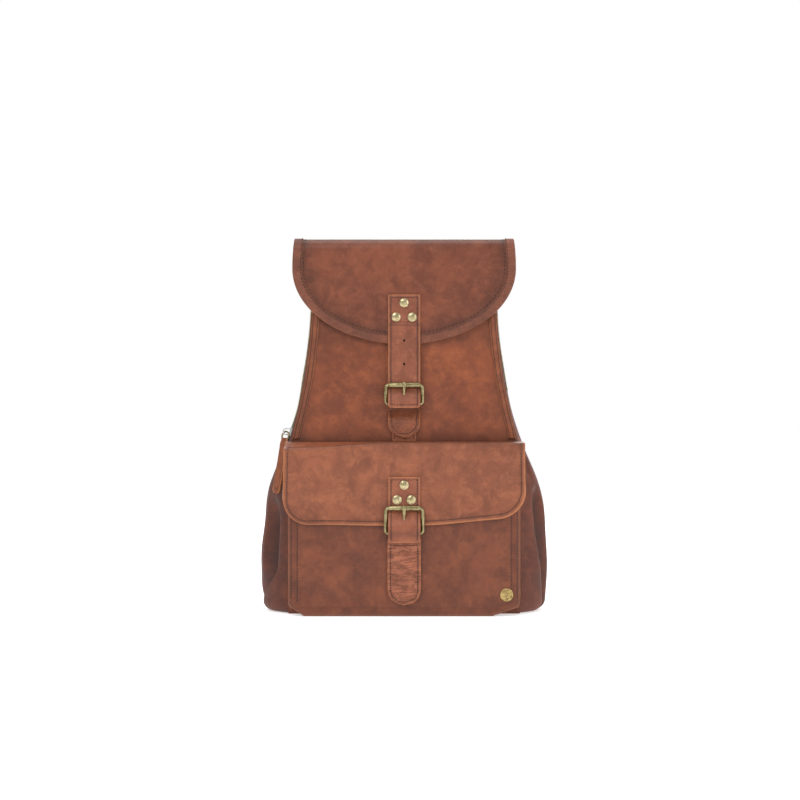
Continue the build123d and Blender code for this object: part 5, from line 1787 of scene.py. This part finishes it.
def on_lane(side, place):
    """Turns a face drawn facing the front and hanging from the origin onto a strap's lane."""
    head = Vector((side * PAD_HEAD.x, 0, PAD_HEAD.z)) * MM
    turn = Matrix.Rotation(-side * LANE_TILT, 3, "Y") @ Matrix.Rotation(pi, 3, "Z")
    return lambda u, v: head + turn @ place(u, v)


def pad_half(at):
    """Half width of the pad, with its corners rounded."""
    half = PAD_WIDE / 2 - 1.2 * sin(pi * at / PAD_LONG) ** 2
    return half - corner_cut(min(at - 4, PAD_LONG + 4 - at), PAD_CORNER, 0.01)


def pad_skin(turn, inset, deep):
    middle = (PAD_NEAR + PAD_FAR) / 2 + 0.6

    def place(u, v):
        at = 4 + inset + (PAD_LONG - 2 * inset) * (1 - v)
        a = (2 * u - 1) * turn
        half = max(pad_half(at) - inset, 2)
        edge = min((1 - abs(a)) * half, min(at - 4 - inset, PAD_LONG + 4 - inset - at))
        rise = deep * min(max(edge, 0) / 3.5, 1) ** 0.5
        return Vector((a * half, -(middle + turn * rise), -at)) * MM
    return place


def padded_pillow(name, side):
    """A closed pillow of hide, blown up by cloth simulation between its two faces."""
    pillow = weld(joined(sheet(name, 18, 66, on_lane(side, pad_skin(1, 5.2, 3.2)), 0),
                         sheet(f"{name}_under", 18, 66, on_lane(side, pad_skin(-1, 5.2, 3.2)), 0)), 0.0002)
    bpy.ops.object.select_all(action="DESELECT")
    pillow.select_set(True)
    bpy.context.view_layer.objects.active = pillow
    grid = pillow.modifiers.new("grid", "REMESH")
    grid.mode = "VOXEL"
    grid.voxel_size = PAD_GRID
    carry_out(pillow, grid)
    before = [v.co.copy() for v in pillow.data.vertices]
    air = pillow.modifiers.new("air", "CLOTH")
    air.settings.use_pressure = True
    air.settings.uniform_pressure_force = AIR_FORCE
    air.settings.effector_weights.gravity = 0
    for step in range(1, AIR_STEPS + 1):
        bpy.context.scene.frame_set(step)
    carry_out(pillow, air)
    bpy.context.scene.frame_set(1)
    for vertex, start in zip(pillow.data.vertices, before):
        move = vertex.co - start
        if move.length > SWELL_LIMIT:
            vertex.co = start + move.normalized() * SWELL_LIMIT
    smooth = pillow.modifiers.new("smooth", "SUBSURF")
    smooth.levels = smooth.render_levels = 1
    carry_out(pillow, smooth)
    bpy.ops.object.shade_smooth()
    pillow.data.materials.clear()
    pillow.data.materials.append(pad_leather)
    return pillow


def border_face(u, v):
    at = 4 + PAD_LONG * (1 - v)
    a = 2 * u - 1
    half = pad_half(at)
    middle = (PAD_NEAR + PAD_FAR) / 2
    return Vector((a * half, -(middle + 0.3 + 0.15 * uneven(a * half, at, 3, 9)), -at)) * MM


def pad_rows(inset):
    line = []
    for a in (-1, 1):
        side_line = []
        for k in range(41):
            at = 4 + inset + 3 + (PAD_LONG - 2 * inset - 6) * k / 40
            half = pad_half(at)
            left = min(at - 4, PAD_LONG + 4 - at)
            reach = half - inset
            if left < PAD_CORNER:
                bend = PAD_CORNER - inset
                reach = PAD_WIDE / 2 - PAD_CORNER + sqrt(max(bend**2 - (PAD_CORNER - left) ** 2, 0))
            side_line.append((0.5 + a * reach / half / 2, 1 - (at - 4) / PAD_LONG))
        line.append(side_line)
    for at in (4 + inset, PAD_LONG + 4 - inset):
        half = pad_half(at)
        line.append([(0.5 + (k / 6 - 1) * 12.5 / half / 2, 1 - (at - 4) / PAD_LONG) for k in range(13)])
    return line


for name, side in SIDES:
    pillow = padded_pillow(f"shoulder_pad_{name}_pillow", side)
    finish(pillow, f"shoulder_{name}", f"shoulder_pad_{name}", f"shoulder_pad_{name}")
    edge_place = on_lane(side, border_face)
    border = sheet(f"shoulder_pad_{name}_border", 40, 150, edge_place, 2.4 * MM, pad_leather,
                   worn=lambda u, v: 0.7 * near(min(min(u, 1 - u) * PAD_WIDE, min(v, 1 - v) * PAD_LONG), 1.0))
    finish(border, f"shoulder_{name}", f"shoulder_pad_{name}")
    seam(f"shoulder_pad_{name}_stitches", f"shoulder_{name}", edge_place, pad_rows(2.6), 0.1, 3.2)
    root = turned(f"shoulder_pad_{name}_root",
                  [(-20, 0.2), (-20, 3.0), (-19.6, 3.5), (19.6, 3.5), (20, 3.0), (20, 0.2)],
                  (side * PAD_HEAD.x, 67.6, PAD_HEAD.z), pad_leather)
    finish(root, f"shoulder_{name}", f"shoulder_pad_{name}")
    neck_place, neck_long = strap_face(route([(-70.0, 0), (-72.6, -4), (-76.8, -13), (-78.2, -26)], 4),
                                       NECK_WIDE, 2.0, 3, 0, 0.1, 31)
    neck_place = on_lane(side, neck_place)
    neck = sheet(f"shoulder_pad_{name}_neck", 26, 30, neck_place, 1.8 * MM, pad_leather,
                 worn=strap_worn(NECK_WIDE, neck_long))
    finish(neck, f"shoulder_{name}", f"shoulder_pad_{name}")
    seam(f"shoulder_pad_{name}_neck_stitches", f"shoulder_{name}", neck_place,
         strap_rows(NECK_WIDE, neck_long, 3.0, ends=(True, False), marks=(neck_long - 16,)), 0.1, 2.9)
    bar_at = ADJUSTER_AT - ADJUSTER_PITCH / 2
    bar_y = 71.8
    chape_route = route([(-(PAD_FAR - 4.2), -(PAD_LONG - 26)), (-(PAD_FAR - 4.6), -(PAD_LONG - 8)),
                         (-(bar_y + 2.9), -(bar_at - 4)), (-(bar_y + 2.9), -(bar_at + 0.8)),
                         (-(bar_y + 0.4), -(bar_at + 2.9))], 3)
    chape_place, chape_long = strap_face(chape_route, CHAPE_WIDE, 1.8, 1.0, 3.0, 0.1, 37)
    chape_place = on_lane(side, chape_place)
    chape = sheet(f"shoulder_pad_{name}_chape", 26, 60, chape_place, 1.6 * MM, strap_leather,
                  worn=strap_worn(CHAPE_WIDE, chape_long))
    finish(chape, f"shoulder_{name}", f"shoulder_pad_{name}")
    seam(f"shoulder_pad_{name}_chape_stitches", f"shoulder_{name}", chape_place,
         strap_rows(CHAPE_WIDE, chape_long, 2.8, ends=(False, True), marks=(chape_long - 18,)), 0.1, 2.8)

    ring_at = LANE_LONG - RING_DROP
    strip_route = route([(-LOWER_STRAP_Y, -152), (-LOWER_STRAP_Y, -(ring_at - 8)),
                         (-(LOWER_STRAP_Y + 2.7), -(ring_at - 1)), (-(LOWER_STRAP_Y + 2.2), -(ring_at + 2.4)),
                         (-(LOWER_STRAP_Y - 1.6), -(ring_at + 2.6)), (-(LOWER_STRAP_Y - 2.8), -(ring_at - 3)),
                         (-(LOWER_STRAP_Y - 2.6), -(ring_at - 20))], 3)
    strip_long = strip_route[-1][0]

    def lower_face(u, v):
        """Keeps the strap's face on its outer side right round the ring."""
        at = strip_long * (1 - v)
        y, z, along_y, along_z = on_route(strip_route, at)
        half = LOWER_WIDE / 2 - corner_cut(at, 9.0)
        a = 2 * u - 1
        return Vector((a * half, y + along_z * 1.0, z - along_y * 1.0)) * MM

    lane_place = on_lane(side, lower_face)
    lower = sheet(f"lower_strap_{name}_hide", 26, 130, lane_place, 1.9 * MM, strap_leather,
                  worn=lambda u, v: 0.8 * near(min(u, 1 - u) * LOWER_WIDE, 0.9))
    down_lane = Vector((side * sin(LANE_TILT), 0, -cos(LANE_TILT)))
    for at in LOWER_HOLES:
        spot = Vector((side * PAD_HEAD.x, LOWER_STRAP_Y, PAD_HEAD.z)) + down_lane * at
        punched(lower, [tuple(spot)], 1.1)
    finish(lower, f"lower_strap_{name}", f"lower_strap_{name}", f"lower_strap_{name}")
    seam(f"lower_strap_{name}_stitches", f"lower_strap_{name}", lane_place,
         [line_up(x, 0.2, 0.76, 60) for x in (0.11, 0.89)], 0.1, 3.0)

# ---- lower tabs: hides sewn into the bottom corners of the back, where the straps' rings
# are tied down


def tab_corner(side):
    """A tab's face, which keeps inside the back's edge and above its foot."""
    tilt = Vector((cos(LANE_TILT), side * sin(LANE_TILT)))

    def place(u, v):
        top = LANE_LONG - 12
        half = 13 + 8 * (1 - v) - 3 * max(v - 0.88, 0) ** 2 / 0.0144
        a = 1 - 2 * u
        foot = (PAD_HEAD.z - 8 + a * half * tilt.y) / cos(LANE_TILT)
        at = top + (min(LANE_LONG + 34, foot) - top) * (1 - v)
        middle = side * (PAD_HEAD.x + at * sin(LANE_TILT))
        limit = (outline_half(BACK_HALF, 30, BACK_TOP, 2.5) - abs(middle)) / tilt.x
        reach = min(half, limit) if a * side > 0 else half
        z = PAD_HEAD.z - at * cos(LANE_TILT) + a * reach * tilt.y
        edge = min((1 - abs(a)) * half, v * 40, (1 - v) * 40)
        rise = 63.4 - 0.6 * (1 - ease(edge, 0, 1.4))
        return Vector((middle + a * reach * tilt.x, rise, max(z, 6.5))) * MM
    return place


tab_pieces = []
for name, side in SIDES:
    place = tab_corner(side)
    tab_pieces.append(sheet("lower_tab", 26, 36, place, 2.0 * MM, yoke_leather,
                            worn=lambda u, v: 0.7 * near(min(min(u, 1 - u) * 34, (1 - v) * 46), 1.0)))
    seam(f"lower_tab_{name}_stitches", "bag", place,
         [line_up(x, 0.2, 0.7, 16) for x in (0.12, 0.88)] + [line_across(0.9, 0.12, 0.76, 10)],
         0.1, 3.0)
finish(joined(*tab_pieces), "bag", "lower_tabs", "lower_tabs")

# ---- the inner pocket: a flat cotton pouch sewn inside the back, closed by a small zip
pouch_low, pouch_high = (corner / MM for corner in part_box("inner_pocket"))
inner_zip_low, inner_zip_high = (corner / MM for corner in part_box("inner_zip"))
INNER_SLOT_Z = (inner_zip_low.z + inner_zip_high.z) / 2
pouch_middle_y = (pouch_low.y + pouch_high.y) / 2
INNER_SLOT = 3.0


def pouch_face(turn):
    def place(u, v):
        x = -turn * (2 * u - 1) * (pouch_high.x - 0.5)
        z = pouch_low.z + 0.5 + (pouch_high.z - pouch_low.z - 1) * v
        edge = min(ease(min(u, 1 - u), 0, 0.04), ease(min(v, 1 - v), 0, 0.05))
        sag = 0.5 * uneven(x, z, 60 + turn, 26)
        return Vector((x, pouch_middle_y + turn * (2.4 * edge + 0.9 + sag * edge * 0.6), z)) * MM
    return place


def pouch_slot(u, v):
    z = pouch_low.z + 0.5 + (pouch_high.z - pouch_low.z - 1) * v
    return abs(z - INNER_SLOT_Z) < INNER_SLOT and 0.09 < u < 0.91


pouch = joined(sheet("inner_pocket_cloth", 64, 60, pouch_face(-1), 0, lining_cotton, cut=pouch_slot),
               sheet("inner_pocket_far", 64, 60, pouch_face(1), 0, lining_cotton))
pouch_wall = pouch.modifiers.new("wall", "SOLIDIFY")
pouch_wall.thickness = 0.5 * MM
pouch_wall.offset = 0
carry_out(pouch, pouch_wall)
finish(pouch, "bag", "inner_pocket", "inner_pocket")


def inner_tape(s):
    def place(u, v):
        x = inner_zip_low.x + 2 + (inner_zip_high.x - inner_zip_low.x - 4) * u
        z = INNER_SLOT_Z + s * 1.2 + (v - (s < 0)) * 7
        return Vector((x, inner_zip_high.y - 1.0 + 0.1 * uneven(x, z, 71, 12), z)) * MM
    return place


inner_tapes = [sheet("inner_zip_woven", 60, 4, inner_tape(s), 0.5 * MM, zip_tape_cloth) for s in (-1, 1)]
frames = []
for k in range(58):
    spot = Vector((-63 + TOOTH_PITCH * k, inner_zip_high.y - 0.9, INNER_SLOT_Z + (0.7 if k % 2 else -0.7)))
    frames.append((spot * MM, Vector((1, 0, 0)), TO_FRONT))
inner_teeth = copies("inner_zip_teeth", [p * 0.62 for p in tooth_spots], tooth_faces, frames, zip_brass)
finish(joined(*inner_tapes, inner_teeth), "bag", "inner_zip", "inner_zip")
coat(antique_brass, "inner_slider")
